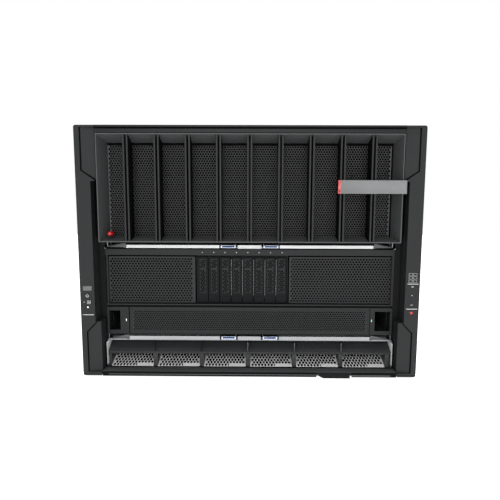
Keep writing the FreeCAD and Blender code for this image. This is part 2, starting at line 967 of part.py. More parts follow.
def badge_plate():
    right = bezel_half + badge_overhang
    left = right - badge_size[0]
    y = (front - badge_thickness, front)
    z = (badge_height - badge_size[1] / 2, badge_height + badge_size[1] / 2)
    plate = rounded(box((left + accent_width, right), y, z), badge_corner, lambda e: at(e, y=y[0]))
    accent = box((left, left + accent_width), y, z)
    return plate, accent


def bezel_knob():
    y = behind(knob_setback)
    centre = FreeCAD.Vector(-knob_x(), y + knob_radius, knob_height)
    dome = Part.makeSphere(knob_radius, centre)
    cap = dome.common(box((-bezel_half, 0), (y, y + knob_head_depth), (0, panel_height)))
    stem_end = behind(mesh_setback + mesh_sheet + knob_stem_tail)
    stem = rod_y(knob_stem_radius, -knob_x(), (y + knob_head_depth / 2, stem_end), knob_height)
    return fused([cap, stem])


# Compute node

wall_setback = 30.0
crossbar_return = 12.0
cross_lift = 5.0
compute_post_shares = (-0.85, 0.0, 0.85)
vent_depth = 8.0
vent_gap = 1.5
vent_sheet = 1.2
mainboard_lift = 5.0
mainboard_sheet = 2.4
mainboard_y = (150.0, 535.0)
cpu_x = 95.0
cpu_y = (250.0, 370.0)
cpu_width = 80.0
cpu_base = 12.0
cpu_fins = 13
cpu_fin_height = 52.0
memory_sheet = 1.6
memory_height = 31.0
memory_length = 133.0
memory_pitch = 9.4
memory_bank = 4
memory_offset = 50.0

bay_half = drive_pitch * drive_count / 2
cage_x = (drive_bay_shift - bay_half - tray_sheet, drive_bay_shift + bay_half + tray_sheet)
cage_front = behind(drive_setback + carrier_face + slide_gap)


def compute_tray():
    floor = tray_floor(tray_half, compute_z, compute_lever_setback)
    wall_y = behind(wall_setback)
    wall = box((tray_half - tray_sheet, tray_half), (wall_y, tray_rear),
               (compute_z, compute_top - shelf_headroom))
    deck = box((-tray_half, tray_half), (cage_front, tray_rear), (deck_top - tray_sheet, deck_top))
    runner = box((tray_half - tray_sheet - runner_width, tray_half), (wall_y + end_block_depth, tray_rear),
                 (network_z - slide_gap - tray_sheet, network_z - slide_gap))
    cross_y = behind(compute_lever_setback + lever_bay)
    cross = box((-tray_half, tray_half), (cross_y, cross_y + tray_sheet),
                (compute_z, compute_floor + cross_lift))
    studs = both_sides(pivot_stud(compute_floor, compute_lever_setback))
    posts = []
    post_z = (deck_top - tray_sheet / 2, deck_top + mainboard_lift)
    for share in compute_post_shares:
        for y in (mainboard_y[0] + board_margin, mainboard_y[1] - board_margin):
            posts.append(rod_z(standoff_radius, share * tray_half, y, post_z))
    catch = catch_bar(compute_z, compute_lever_z, compute_lever_setback)
    return fused(floor + [deck, cross] + both_sides(wall) + both_sides(runner) + studs + posts + catch)


def compute_front():
    face = behind(compute_setback)
    back = behind(vent_setback)
    half = tray_half
    inner = half - front_post_width
    between = half - tray_sheet - seat_gap
    lip_end = behind(wall_setback + crossbar_return)
    under = compute_top - tray_sheet
    crossbar = along_x([
        (face, crossbar_z), (face, compute_top), (lip_end, compute_top), (lip_end, under), (back, under),
        (back, crossbar_z),
    ], (-between, between))
    cap = box((-half, half), (face, back), (crossbar_z, compute_top))
    strip = box((-half, half), (face, back), (strip_z, strip_z + strip_height))
    ledge = box((-between, between), (face + lap, cage_front), (deck_top - tray_sheet, deck_top))
    post_side = box((inner, half), (face, back), (strip_z, compute_top))
    return fused([crossbar, cap, strip, ledge] + both_sides(post_side))


def vent_pan(x):
    y = (behind(vent_setback), behind(vent_setback) + vent_depth)
    z = (strip_z + strip_height + seat_gap, crossbar_z - vent_gap)
    pan = box(x, y, z)
    inner = box((x[0] + vent_sheet, x[1] - vent_sheet), (y[0] + vent_sheet, y[1] + overcut),
                (z[0] + vent_sheet, z[1] - vent_sheet))
    return rounded(pan, vent_sheet / 2, lambda e: at(e, y=y[0])).cut(inner)


def vent_panels():
    edge = tray_half - tray_sheet - seat_gap
    left = (-edge, cage_x[0] - vent_gap)
    right = (cage_x[1] + vent_gap, edge)
    return vent_pan(left), vent_pan(right)


def drive_middle(index):
    return drive_bay_shift + (index - (drive_count - 1) / 2) * drive_pitch


def drive_cage():
    backplane_y = cage_front + cage_length - backplane_sheet
    y = (cage_front, backplane_y)
    inside = (deck_top + tray_sheet, cage_top - tray_sheet)
    plates = [
        box(cage_x, y, (deck_top, inside[0])),
        box(cage_x, y, (inside[1], cage_top)),
        box((cage_x[0], cage_x[0] + tray_sheet), y, inside),
        box((cage_x[1] - tray_sheet, cage_x[1]), y, inside),
        box(cage_x, (backplane_y, backplane_y + backplane_sheet), (deck_top, cage_top)),
    ]
    for i in range(1, drive_count):
        x = drive_middle(i) - drive_pitch / 2
        plates.append(box((x - separator_sheet / 2, x + separator_sheet / 2), y, inside))
    return plates


carrier_rail_length = 112.0
grille_margin = 3.0
grille_depth = 1.0
grille_low = 15.0
grille_top = 3.0
release_height = 8.0
release_proud = 0.6
release_lift = 2.0
carrier_round = 0.8
drive_gap = 2.0


def drive_carrier(index):
    x = drive_middle(index)
    half = drive_width / 2
    y = behind(drive_setback)
    z = (drive_z, drive_z + drive_height)
    face = box((x - half, x + half), (y, y + carrier_face), z)
    face = rounded(face, carrier_round, lambda e: at(e, y=y))
    grille = box((x - half + grille_margin, x + half - grille_margin), (y - overcut, y + grille_depth),
                 (z[0] + grille_low, z[1] - grille_top))
    release_z = z[0] + release_lift
    release = box((x - half / 2, x + half / 2), (y - release_proud, y + lap),
                  (release_z, release_z + release_height))
    rail_y = (y + carrier_face / 2, y + carrier_face + carrier_rail_length)
    body_half = drive_body_width / 2
    low_rail = box((x - body_half, x + body_half), rail_y, (z[0], z[0] + carrier_rail))
    high_rail = box((x - body_half, x + body_half), rail_y, (z[1] - carrier_rail, z[1]))
    carrier = fused([face.cut(grille), release, low_rail, high_rail])
    start = y + carrier_face + drive_gap
    body = box((x - body_half, x + body_half), (start, start + drive_body_length),
               (z[0] + carrier_rail, z[1] - carrier_rail))
    return carrier, body


def mainboard():
    half = tray_half - tray_sheet - board_margin
    z = deck_top + mainboard_lift
    return box((-half, half), mainboard_y, (z, z + mainboard_sheet))


def board_top():
    return deck_top + mainboard_lift + mainboard_sheet


def cpu_heatsinks():
    return [finned_block(x, cpu_y, board_top(), cpu_width, cpu_base, cpu_fins, cpu_base + cpu_fin_height,
                         module_fin_share) for x in (-cpu_x, cpu_x)]


def memory_modules():
    middle = (cpu_y[0] + cpu_y[1]) / 2
    y = (middle - memory_length / 2, middle + memory_length / 2)
    sticks = []
    for socket in (-cpu_x, cpu_x):
        for side in (-1, 1):
            for i in range(memory_bank):
                x = socket + side * (memory_offset + i * memory_pitch)
                sticks.append(box((x - memory_sheet / 2, x + memory_sheet / 2), y,
                                  (board_top(), board_top() + memory_height)))
    return sticks


# One-unit tray inside the compute node

network_half = tray_half - tray_sheet - slide_gap
network_board_lift = 6.0
network_board_sheet = 2.0
network_board_y = (60.0, 400.0)
network_sink_height = 18.0
network_sink_size = (70.0, 90.0)
network_sink_base = 6.0
network_sink_fins = 11
network_sink_setback = 120.0
network_sink_shares = (-0.5, 0.5)
network_wall_drop = 3.0
network_lug_shares = (-0.7, 0.7)
network_lug_inset = 10.0
hull_drop = 1.0
grille_side = 3.5
grille_rim = 5.4
grille_recess = 0.8


def network_tray():
    start = behind(compute_setback + panel_sheet)
    rear = start + network_length
    floor = box((-network_half, network_half), (start, rear), (network_z, network_z + tray_sheet))
    wall = box((network_half - tray_sheet, network_half), (start + end_block_depth, rear),
               (network_z, network_top - network_wall_drop))
    lug_z = (network_z + tray_sheet / 2, network_z + tray_sheet + network_board_lift)
    lugs = []
    for share in network_lug_shares:
        for y in (network_board_y[0] + network_lug_inset, network_board_y[1] - network_lug_inset):
            lugs.append(rod_z(standoff_radius, share * network_half, y, lug_z))
    return fused([floor] + both_sides(wall) + lugs)


def end_block(window_width):
    face = behind(compute_setback)
    outer = tray_half
    x = (outer - end_block_width, outer)
    block = box(x, (face, face + panel_sheet), (network_z, network_top))
    rear = face + end_block_depth
    z = (network_z + tray_sheet, network_top - hull_drop)
    hull = box((x[0], network_half), (face, rear), z)
    right = network_half - window_wall
    core = box((x[0] + window_wall, right), (face + panel_sheet, rear + overcut),
               (z[0] + window_wall, z[1] - window_wall))
    heights = (network_z + window_margin, network_top - window_margin)
    window = box((right - window_width, right), (face - overcut, rear + overcut), heights)
    return block.fuse(hull.cut(core)).cut(window)


def network_panel():
    face = behind(compute_setback)
    inner = tray_half - end_block_width
    plate = box((-inner - lap, inner + lap), (face, face + panel_sheet), (network_z, network_top))
    flange_top = network_top - hull_drop
    flange = box((-inner, inner), (face, face + 3 * panel_sheet), (flange_top - tray_sheet, flange_top))
    grille_zone = box((-inner + grille_side, inner - grille_side), (face - overcut, face + grille_recess),
                      (network_z + grille_rim, network_top - grille_rim))
    ends = [mirrored(end_block(window_width_left)), end_block(window_width_right)]
    return fused([plate, flange] + ends).cut(grille_zone)


def network_board():
    z = network_z + tray_sheet + network_board_lift
    half = network_half - tray_sheet - board_margin
    board = box((-half, half), network_board_y, (z, z + network_board_sheet))
    top = z + network_board_sheet
    sinks = []
    start = network_board_y[0] + network_sink_setback
    reach = (start, start + network_sink_size[1])
    for share in network_sink_shares:
        sinks.append(finned_block(share * network_half, reach, top, network_sink_size[0], network_sink_base,
                                  network_sink_fins, network_sink_height, module_fin_share))
    return [board] + sinks


# Rear: frame, fans, supplies and midplane

rear_y = body_depth - tub_sheet
fan_drop = 2.0
fan_centre_z = (gpu_z + cover_z) / 2 - fan_drop
slot_centre_z = (power_shelf_z + mid_shelf_z) / 2
slot_shift = 60.0
supply_window = 0.4
fan_corner = 4.0
hub_seat_step = 1.0


def fan_places():
    places = []
    for row in range(fan_rows):
        for column in range(fan_columns):
            x = (column - (fan_columns - 1) / 2) * fan_pitch_x
            z = fan_centre_z + (row - (fan_rows - 1) / 2) * fan_pitch_z
            places.append((x, z))
    return places


def supply_middle(index):
    return (index - (bay_count - 1) / 2) * supply_pitch


def rear_frame():
    edge = tub_inner - seat_gap / 2
    plate = box((-edge, edge), (rear_y, body_depth), (tub_sheet, cover_z))
    fan_bore = fan_size / 2 - fan_wall
    through = (rear_y - overcut, body_depth + overcut)
    cuts = [rod_y(fan_bore, x, through, z) for x, z in fan_places()]
    for i in range(bay_count):
        half = supply_width / 2 + supply_window
        x = supply_middle(i)
        cuts.append(box((x - half, x + half), through, (0, tub_sheet + supply_height + supply_window)))
    half_w, half_h = slot_size[0] / 2, slot_size[1] / 2
    for i in range(slot_count):
        x = slot_shift + (i - (slot_count - 1) / 2) * slot_pitch
        cuts.append(box((x - half_w, x + half_w), (rear_y + tub_sheet / 2, body_depth + overcut),
                        (slot_centre_z - half_h, slot_centre_z + half_h)))
    return plate.cut(Part.makeCompound(cuts))


def fan_frame(x, z):
    half = fan_size / 2
    y = (rear_y - fan_depth, rear_y)
    block = box((x - half, x + half), y, (z - half, z + half))
    block = rounded(block, fan_corner, lambda e: runs_along(e, y_axis))
    bore = rod_y(half - fan_wall, x, (y[0] - overcut, y[1] + overcut), z)
    strut_y = (y[1] - strut_depth, y[1])
    reach = half - fan_wall / 2
    arms = fused([
        box((x - reach, x + reach), strut_y, (z - strut_width / 2, z + strut_width / 2)),
        box((x - strut_width / 2, x + strut_width / 2), strut_y, (z - reach, z + reach)),
        rod_y(hub_radius - hub_seat_step, x, strut_y, z),
    ])
    shaft_hole = rod_y(shaft_radius + turn_gap, x, (strut_y[0] - overcut, y[1] + overcut), z)
    return fused([block.cut(bore), arms]).cut(shaft_hole)


blade_sheet = 1.4
blade_root_pitch = 52.0
blade_tip_pitch = 30.0
blade_chord = 24.0
root_chord = 19.2
root_sink = 2.0
hub_gap = 0.4
hub_round = 2.0
shaft_stop = 1.0


def blade_section(radius, pitch, chord):
    along = FreeCAD.Vector(cos(radians(pitch)), sin(radians(pitch)), 0) * (chord / 2)
    across = FreeCAD.Vector(-sin(radians(pitch)), cos(radians(pitch)), 0) * (blade_sheet / 2)
    middle = FreeCAD.Vector(0, 0, radius)
    low, high = middle - across, middle + across
    corners = [low - along, low + along, high + along, high - along]
    return Part.makePolygon(corners + corners[:1])


def rotor_shape():
    reach = fan_size / 2 - fan_wall - blade_gap
    hub_end = hub_depth / 2
    root = blade_section(hub_radius - root_sink, blade_root_pitch, root_chord)
    tip_radius = reach * cos(blade_chord / 2 / reach)
    tip = blade_section(tip_radius, blade_tip_pitch, blade_chord)
    blade = Part.makeLoft([root, tip], True, True)
    hub = rod_y(hub_radius, 0, (-hub_end, hub_end), 0)
    hub = rounded(hub, hub_round, lambda e: at(e, y=-hub_end))
    shaft = rod_y(shaft_radius, 0, (0, hub_end + hub_gap + strut_depth - shaft_stop), 0)
    blades = []
    for i in range(blade_count):
        turned = blade.copy()
        turned.rotate(FreeCAD.Vector(0, 0, 0), y_axis, i * 360 / blade_count)
        blades.append(turned)
    return fused([hub, shaft] + blades)


def fan_rotor(shape, x, z):
    rotor = shape.copy()
    rotor.translate(FreeCAD.Vector(x, rear_y - strut_depth - hub_gap - hub_depth / 2, z))
    return rotor


handle_reach = 20.0
handle_bar = 5.0
handle_span = 27.0
handle_corner = 6.0
inlet_size = (26.0, 20.0)
inlet_depth = 9.0
inlet_margin = 3.0
supply_fan_radius = 15.0
supply_hub_radius = 6.25
supply_hub_drop = 1.0
supply_fan_depth = 4.0
supply_fan_margin = 4.0


def power_supply(x):
    half = supply_width / 2
    y = (body_depth - supply_length, body_depth)
    z = (tub_sheet, tub_sheet + supply_height)
    middle = (z[0] + z[1]) / 2
    case = box((x - half, x + half), y, z)
    inlet_half, inlet_rise = inlet_size[0] / 2, inlet_size[1] / 2
    inlet_x = x + half - inlet_margin - inlet_half
    inlet = box((inlet_x - inlet_half, inlet_x + inlet_half), (y[1] - inlet_depth, y[1] + overcut),
                (middle - inlet_rise, middle + inlet_rise))
    fan_x = x - half + supply_fan_margin + supply_fan_radius
    fan_floor = y[1] - supply_fan_depth
    hole = rod_y(supply_fan_radius, fan_x, (fan_floor, y[1] + overcut), middle)
    boss = rod_y(supply_hub_radius, fan_x, (fan_floor - lap, y[1] - supply_hub_drop), middle)
    tab_y = y[1] + handle_reach
    tab = box((fan_x - handle_span / 2, fan_x + handle_span / 2), (y[1] - supply_hub_drop, tab_y),
              (middle - handle_bar / 2, middle + handle_bar / 2))
    handle = rounded(tab, handle_corner, lambda e: runs_along(e, z_axis) and at(e, y=tab_y))
    return fused([case.cut(inlet).cut(hole), boss]), handle


connector_size = (70.0, 40.0)
connector_depth = 12.0
connector_places = (-140.0, 0.0, 140.0)
midplane_lap = 10.0
midplane_margin = 2.0


def midplane_board():
    half = tub_inner - flange_reach + midplane_lap
    y = (midplane_y, midplane_y + midplane_sheet)
    board = box((-half, half), y, (flange_low + midplane_margin, flange_high - midplane_margin))
    half_w, half_h = connector_size[0] / 2, connector_size[1] / 2
    plugs = []
    for x in connector_places:
        for z in ((deck_top + compute_top) / 2, gpu_board_z() + half_h):
            plugs.append(box((x - half_w, x + half_w), (y[0] - connector_depth, y[0]),
                             (z - half_h, z + half_h)))
    return [board] + plugs


def levers_and_latches(name, lever_z, floor_top, setback):
    right = lever(lever_z, floor_top, setback)
    right_latch = latch(lever_z, floor_top, setback)
    save(f"{name}_lever_right", right)
    save(f"{name}_lever_left", mirrored(right))
    save(f"{name}_latch_right", right_latch)
    save(f"{name}_latch_left", mirrored(right_latch))


def main():
    os.makedirs("parts", exist_ok=True)
    screws = [screw for y in cover_screw_places() for screw in both_sides(cover_screw(y))]
    studs = [stud for y in rail_stud_places for stud in both_sides(rail_stud(y))]
    save("chassis_tub", chassis_tub())
    save("top_cover", top_cover())
    save("front_frame", front_frame())
    save("fasteners", *screws, *studs)
    save("tray_shelves", *tray_shelves())
    save("intake_flaps", intake_flaps())
    save("intake_screens", *[intake_screen(i) for i in range(bay_count)])
    save("label_card", label_card())
    save("ear_left", ear_left())
    save("ear_right", ear_right())
    save("ear_indicators", *ear_indicators())
    save("power_button", power_button())
    save("id_button", id_button())
    save("rack_brackets", *both_sides(rack_bracket()))
    save("rear_frame", rear_frame())
    save("midplane_board", *midplane_board())
    save("power_supplies", *[solid for i in range(bay_count) for solid in power_supply(supply_middle(i))])
    save("fan_frames", *[fan_frame(x, z) for x, z in fan_places()])
    rotor = rotor_shape()
    for i, (x, z) in enumerate(fan_places()):
        save(f"fan_rotor_{i + 1}", fan_rotor(rotor, x, z))
    save("gpu_tray", gpu_tray())
    save("gpu_baseboard", gpu_baseboard())
    save("gpu_modules", *gpu_modules())
    save("bezel_frame", bezel_frame())
    save("bezel_fins", *[bezel_fin(i) for i in range(fin_count)])
    save("bezel_mesh", bezel_mesh())
    save("badge_plate", *badge_plate())
    save("bezel_knob", bezel_knob())
    levers_and_latches("gpu", gpu_lever_z, gpu_floor, gpu_lever_setback)
    save("compute_tray", compute_tray())
    save("compute_front", compute_front())
    save("vent_panels", *vent_panels())
    save("drive_cage", *drive_cage())
    for i in range(drive_count):
        save(f"drive_carrier_{i + 1}", *drive_carrier(i))
    save("mainboard", mainboard())
    save("cpu_heatsinks", *cpu_heatsinks())
    save("memory_modules", *memory_modules())
    levers_and_latches("compute", compute_lever_z, compute_floor, compute_lever_setback)
    save("network_tray", network_tray())
    save("network_panel", network_panel())
    save("network_board", *network_board())


main()
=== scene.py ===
import math
import bpy
from mathutils import Matrix, Vector


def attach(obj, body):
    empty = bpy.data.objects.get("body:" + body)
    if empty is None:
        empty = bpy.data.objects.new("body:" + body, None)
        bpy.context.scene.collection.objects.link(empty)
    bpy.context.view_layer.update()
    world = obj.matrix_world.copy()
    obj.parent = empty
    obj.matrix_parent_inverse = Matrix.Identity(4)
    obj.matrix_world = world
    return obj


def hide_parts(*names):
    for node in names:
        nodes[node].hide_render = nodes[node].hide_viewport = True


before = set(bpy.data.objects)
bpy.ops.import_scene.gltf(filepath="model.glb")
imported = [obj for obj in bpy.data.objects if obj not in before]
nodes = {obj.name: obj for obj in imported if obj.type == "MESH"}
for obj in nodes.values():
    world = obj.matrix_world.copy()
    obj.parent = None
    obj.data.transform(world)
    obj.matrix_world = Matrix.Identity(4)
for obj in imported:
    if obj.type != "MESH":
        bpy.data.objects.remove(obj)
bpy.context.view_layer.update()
mm = 0.001
print("frame loaded,", len(nodes), "nodes")


# colours are written as sRGB hex and turned to linear here
def linear(colour):
    parts = [int(colour[i:i + 2], 16) / 255 for i in (1, 3, 5)]
    return tuple(c / 12.92 if c <= 0.04045 else ((c + 0.055) / 1.055) ** 2.4 for c in parts) + (1.0,)


def putNode(tree, kind, settings=None, links=None):
    node = tree.nodes.new(kind)
    for key, value in (settings or {}).items():
        if isinstance(key, int) or key in node.inputs:
            node.inputs[key].default_value = value
        else:
            setattr(node, key, value)
    for key, source in (links or {}).items():
        tree.links.new(source, node.inputs[key])
    return node


# the words that a finish uses for sockets of its shader
socketWords = {"ior": "IOR", "metal": "Metallic", "shine": "Specular IOR Level", "roughness": "Roughness",
               "coat": "Coat Weight", "coatRough": "Coat Roughness", "glow": "Emission Color",
               "glowPower": "Emission Strength"}


# a material with its shader, ready for the nodes that colour it
def newFinish(name, plan):
    finish = bpy.data.materials.new(name)
    finish.use_nodes = True
    tree = finish.node_tree
    tree.nodes.clear()
    sockets = {socketWords[word]: value for word, value in plan.items() if word in socketWords}
    shader = putNode(tree, "ShaderNodeBsdfPrincipled", sockets)
    putNode(tree, "ShaderNodeOutputMaterial", None, {"Surface": shader.outputs[0]})
    coords = putNode(tree, "ShaderNodeTexCoord").outputs["Object"]
    return finish, tree, shader, coords


# texture scale for a pattern of so many millimetres
def scaleOf(size):
    return 1 / (size * mm)


# two tones mixed by share, gloss by sheen if there is one, and a relief so many millimetres deep by height
def dressShader(tree, shader, plan, share, sheen, height, depth):
    tone = putNode(tree, "ShaderNodeMix",
                   {"data_type": "RGBA", 6: linear(plan["dark"]), 7: linear(plan["light"])}, {0: share})
    relief = putNode(tree, "ShaderNodeBump", {"Strength": plan["bump"], "Distance": depth * mm}, {"Height": height})
    tree.links.new(tone.outputs[2], shader.inputs["Base Color"])
    tree.links.new(relief.outputs[0], shader.inputs["Normal"])
    if sheen is not None:
        smooth, rough = plan["rough"]
        gloss = putNode(tree, "ShaderNodeMapRange", {"To Min": smooth, "To Max": rough}, {"Value": sheen})
        tree.links.new(gloss.outputs[0], shader.inputs["Roughness"])


# paint, plastic and matt black: two tones in soft clouds, a grain that breaks the gloss and dimples the skin
def grainedFinish(name, **plan):
    finish, tree, shader, coords = newFinish(name, plan)
    clouds = putNode(tree, "ShaderNodeTexNoise", {"Scale": scaleOf(plan["cloud"]), "Detail": 4}, {"Vector": coords})
    grain = putNode(tree, "ShaderNodeTexNoise", {"Scale": scaleOf(plan["grain"]), "Detail": 2}, {"Vector": coords})
    dressShader(tree, shader, plan, clouds.outputs[0], grain.outputs[0], grain.outputs[0], 0.2 * plan["grain"])
    return finish


# metals with a drawn or brushed lay along one axis
def brushedFinish(name, cloud=30, depth=0.05, **plan):
    finish, tree, shader, coords = newFinish(name, plan)
    lay = putNode(tree, "ShaderNodeMapping", {"Scale": [scaleOf(size) for size in plan["streak"]]}, {"Vector": coords})
    streaks = putNode(tree, "ShaderNodeTexNoise", {"Scale": 1.0, "Detail": 3}, {"Vector": lay.outputs[0]})
    clouds = putNode(tree, "ShaderNodeTexNoise", {"Scale": scaleOf(cloud), "Detail": 3}, {"Vector": coords})
    dressShader(tree, shader, plan, clouds.outputs[0], streaks.outputs[0], streaks.outputs[0], depth)
    return finish


# hot-dip zinc: spangles some millimetres across, each crystal with its own grey and gloss
def zincFinish(name, cloud=20, depth=0.2, **plan):
    finish, tree, shader, coords = newFinish(name, plan)
    crystals = putNode(tree, "ShaderNodeTexVoronoi", {"Scale": scaleOf(plan["spangle"])}, {"Vector": coords})
    haze = putNode(tree, "ShaderNodeTexNoise", {"Scale": scaleOf(cloud), "Detail": 5}, {"Vector": coords})
    facets = putNode(tree, "ShaderNodeSeparateColor", None, {"Color": crystals.outputs["Color"]})
    share = putNode(tree, "ShaderNodeMath", {"operation": "MULTIPLY"}, {0: facets.outputs[0], 1: haze.outputs[0]})
    dressShader(tree, shader, plan, share.outputs[0], facets.outputs[1], crystals.outputs["Distance"], depth)
    return finish


# circuit board: epoxy glass under solder mask, traces in square runs a millimetre apart
def boardFinish(name, depth=0.1, **plan):
    finish, tree, shader, coords = newFinish(name, plan)
    runs = putNode(tree, "ShaderNodeTexVoronoi", {
        "Scale": scaleOf(plan["run"]), "distance": "CHEBYCHEV", "feature": "DISTANCE_TO_EDGE"}, {"Vector": coords})
    fine = putNode(tree, "ShaderNodeTexBrick", {
        "Scale": scaleOf(plan["brick"]), "Mortar Size": 0.05, "Color1": (0, 0, 0, 1), "Color2": (0.25, 0.25, 0.25, 1),
        "Mortar": (1, 1, 1, 1)}, {"Vector": coords})
    edge = putNode(tree, "ShaderNodeMapRange", {"From Max": 0.12, "To Min": 1.0, "To Max": 0.0},
                   {"Value": runs.outputs["Distance"]})
    share = putNode(tree, "ShaderNodeMath", {"operation": "MAXIMUM"}, {0: edge.outputs[0], 1: fine.outputs["Fac"]})
    dressShader(tree, shader, plan, share.outputs[0], None, share.outputs[0], depth)
    return finish


# fine-texture powder coat on steel: satin black with an orange-peel skin, its 0.4 mm grain drawn at 1 mm to show
powderCoat = grainedFinish(
    "powder_coated_steel", dark="#191a1b", light="#202122", cloud=60, grain=1.0, rough=(0.42, 0.58), bump=0.25,
    ior=1.5, shine=0.18)

# moulded ABS with a spark-eroded skin: dull charcoal, a little lighter than the paint
charcoalAbs = grainedFinish(
    "moulded_abs", dark="#1b1c1d", light="#222324", cloud=80, grain=0.8, rough=(0.5, 0.66), bump=0.3,
    ior=1.54, shine=0.18)

# bezel moulding: the same ABS with a finer, brighter skin than the ears
bezelAbs = grainedFinish(
    "satin_abs", dark="#393a3b", light="#434445", cloud=80, grain=0.8, rough=(0.45, 0.58), bump=0.2,
    ior=1.54, shine=0.35)

# glass-filled nylon of carriers and air guides: darker and flatter
carrierNylon = grainedFinish(
    "glass_filled_nylon", dark="#161718", light="#1c1d1e", cloud=40, grain=1.2, rough=(0.7, 0.85), bump=0.3,
    ior=1.53, shine=0.06)

# perforated sheet is punched before it is painted, so its paint is thin and smooth
gridPaint = grainedFinish(
    "painted_perforated_steel", dark="#1f2021", light="#272829", cloud=50, grain=1.4, rough=(0.4, 0.52), bump=0.15,
    ior=1.5, shine=0.18)

# steel mesh of the air inlets: the same paint in a lighter grey with more shine, so the web is lighter than the holes
# behind it
meshPaint = grainedFinish(
    "painted_wire_mesh", dark="#2d2e2f", light="#373839", cloud=50, grain=1.4, rough=(0.4, 0.52), bump=0.15,
    ior=1.5, shine=0.4)

# sheet of the drive fronts, punched finer and painted flatter
carrierMesh = grainedFinish(
    "painted_fine_mesh", dark="#1a1b1c", light="#202122", cloud=30, grain=1.2, rough=(0.45, 0.55), bump=0.15,
    ior=1.5, shine=0.2)

# hot-dip zinc of tub, trays and cover: a dull mid grey that breaks up in faint crystals
galvanised = zincFinish(
    "galvanised_sheet", dark="#7b7e81", light="#94979a", spangle=7, rough=(0.36, 0.44), bump=0.05, metal=1.0)

# painted light: zinc made near white and not metallic for the intake plates, standing for the light they catch
litZinc = zincFinish(
    "lit_zinc_sheet", dark="#d2d2d2", light="#e0e0e0", spangle=6, rough=(0.45, 0.6), bump=0.08, ior=1.5)

# satin nickel plate over a press-braked steel strip, brushed along its length
satinNickel = brushedFinish(
    "satin_nickel_plate", dark="#adaeaf", light="#c0c1c2", streak=(40, 0.5, 0.5), rough=(0.4, 0.56), bump=0.15,
    metal=0.5)

# the lower levers: the same nickel plate in a darker grey, a little rougher
dullNickel = brushedFinish(
    "darker_nickel_plate", dark="#8d8e90", light="#a1a2a4", streak=(40, 0.5, 0.5), rough=(0.45, 0.62), bump=0.15,
    metal=0.5)

# painted shade on the bent ends of the levers: the lever steel made dark, with a little metal left in it
shadedLeverSteel = brushedFinish(
    "shaded_lever_steel", dark="#3a3b3c", light="#4c4d4e", streak=(20, 0.5, 0.5), rough=(0.35, 0.5), bump=0.15,
    metal=0.6)

# zinc-plated screws and studs: small bright points, turned
platedScrew = brushedFinish(
    "zinc_plated_screw", dark="#a9abad", light="#c8cacc", streak=(0.4, 0.4, 0.4), rough=(0.25, 0.4), bump=0.2,
    metal=1.0)

# stainless spring strip of the contact fingers: bright, drawn upwards
springSteel = brushedFinish(
    "stainless_spring_strip", dark="#a7a9ab", light="#c9cbcd", streak=(0.5, 0.5, 8), rough=(0.28, 0.4), bump=0.1,
    metal=1.0)

# extruded aluminium of heatsinks and drive bodies, lines along the extrusion
extrudedAluminium = brushedFinish(
    "extruded_aluminium", dark="#b4b6b8", light="#cfd1d2", streak=(0.6, 60, 0.6), rough=(0.28, 0.42), bump=0.2,
    metal=1.0)

# badge: bead-blasted and clear-anodised aluminium, a soft even grey
blastedBadge = grainedFinish(
    "anodised_aluminium", dark="#646566", light="#6e6f70", cloud=30, grain=0.6, rough=(0.42, 0.55), bump=0.12,
    metal=0.3)

# sleeved aluminium cans of the capacitors and ferrite of the coils: mid grey, half bright
canSleeve = grainedFinish(
    "sleeved_aluminium", dark="#55585c", light="#6a6d71", cloud=6, grain=0.6, rough=(0.3, 0.45), bump=0.1, metal=0.6)

# blue polycarbonate, dyed through and moulded matt: deep blue with hardly a shine
bluePolycarbonate = grainedFinish(
    "blue_polycarbonate", dark="#0d2a55", light="#133364", cloud=12, grain=0.7, rough=(0.45, 0.6), bump=0.08,
    ior=1.58, shine=0.06)

# paler blue rim of the latches, the same plastic with a worn matt skin
paleBlue = grainedFinish(
    "worn_blue_polycarbonate", dark="#c3cbe0", light="#d6dcec", cloud=6, grain=0.7, rough=(0.4, 0.55), bump=0.1,
    ior=1.58)

# red acrylic of lamp, knob and badge end: deep red under a wet shine
redGloss = grainedFinish(
    "red_acrylic", dark="#950d0b", light="#b01712", cloud=8, grain=1.5, rough=(0.1, 0.16), bump=0.02,
    ior=1.49, coat=0.6, coatRough=0.06)

# screen-printed light grey ink of the icons and stripes
printInk = grainedFinish(
    "light_grey_ink", dark="#a6a7a7", light="#b8b9b9", cloud=10, grain=0.8, rough=(0.4, 0.5), bump=0.05, ior=1.5)

# the same ink printed thin, for the rims of the small windows
fadedInk = grainedFinish(
    "thin_grey_ink", dark="#727374", light="#828384", cloud=10, grain=0.8, rough=(0.4, 0.5), bump=0.05, ior=1.5)

# flush plate on the left ear: mid-grey printed film
plateFilm = grainedFinish(
    "grey_printed_film", dark="#4d4e4f", light="#575859", cloud=10, grain=0.8, rough=(0.4, 0.5), bump=0.05, ior=1.5)

# unlit black moulding at the bottom of openings
innerBlack = grainedFinish(
    "black_moulding", dark="#0b0b0c", light="#101112", cloud=30, grain=1.5, rough=(0.55, 0.75), bump=0.2,
    ior=1.5, shine=0.2)

# opal lens with a white lamp behind it: near white, with a faint glow of its own
lampWhite = grainedFinish(
    "lit_white_lens", dark="#e8ecf0", light="#f6f8fa", cloud=4, grain=0.8, rough=(0.2, 0.3), bump=0.02,
    ior=1.49, glow=linear("#f2f6ff"), glowPower=0.1)

# the same lens with a green lamp: pale sea green
lampGreen = grainedFinish(
    "lit_green_lens", dark="#74bfa0", light="#8fd4b6", cloud=4, grain=0.8, rough=(0.2, 0.3), bump=0.02,
    ior=1.49, glow=linear("#6fd8ab"), glowPower=0.15)

# green solder mask: dark green with paler traces under a thin gloss
solderMask = boardFinish(
    "green_solder_mask", dark="#123524", light="#245a3c", run=7, brick=11, bump=0.3, ior=1.55, roughness=0.32,
    coat=0.2)
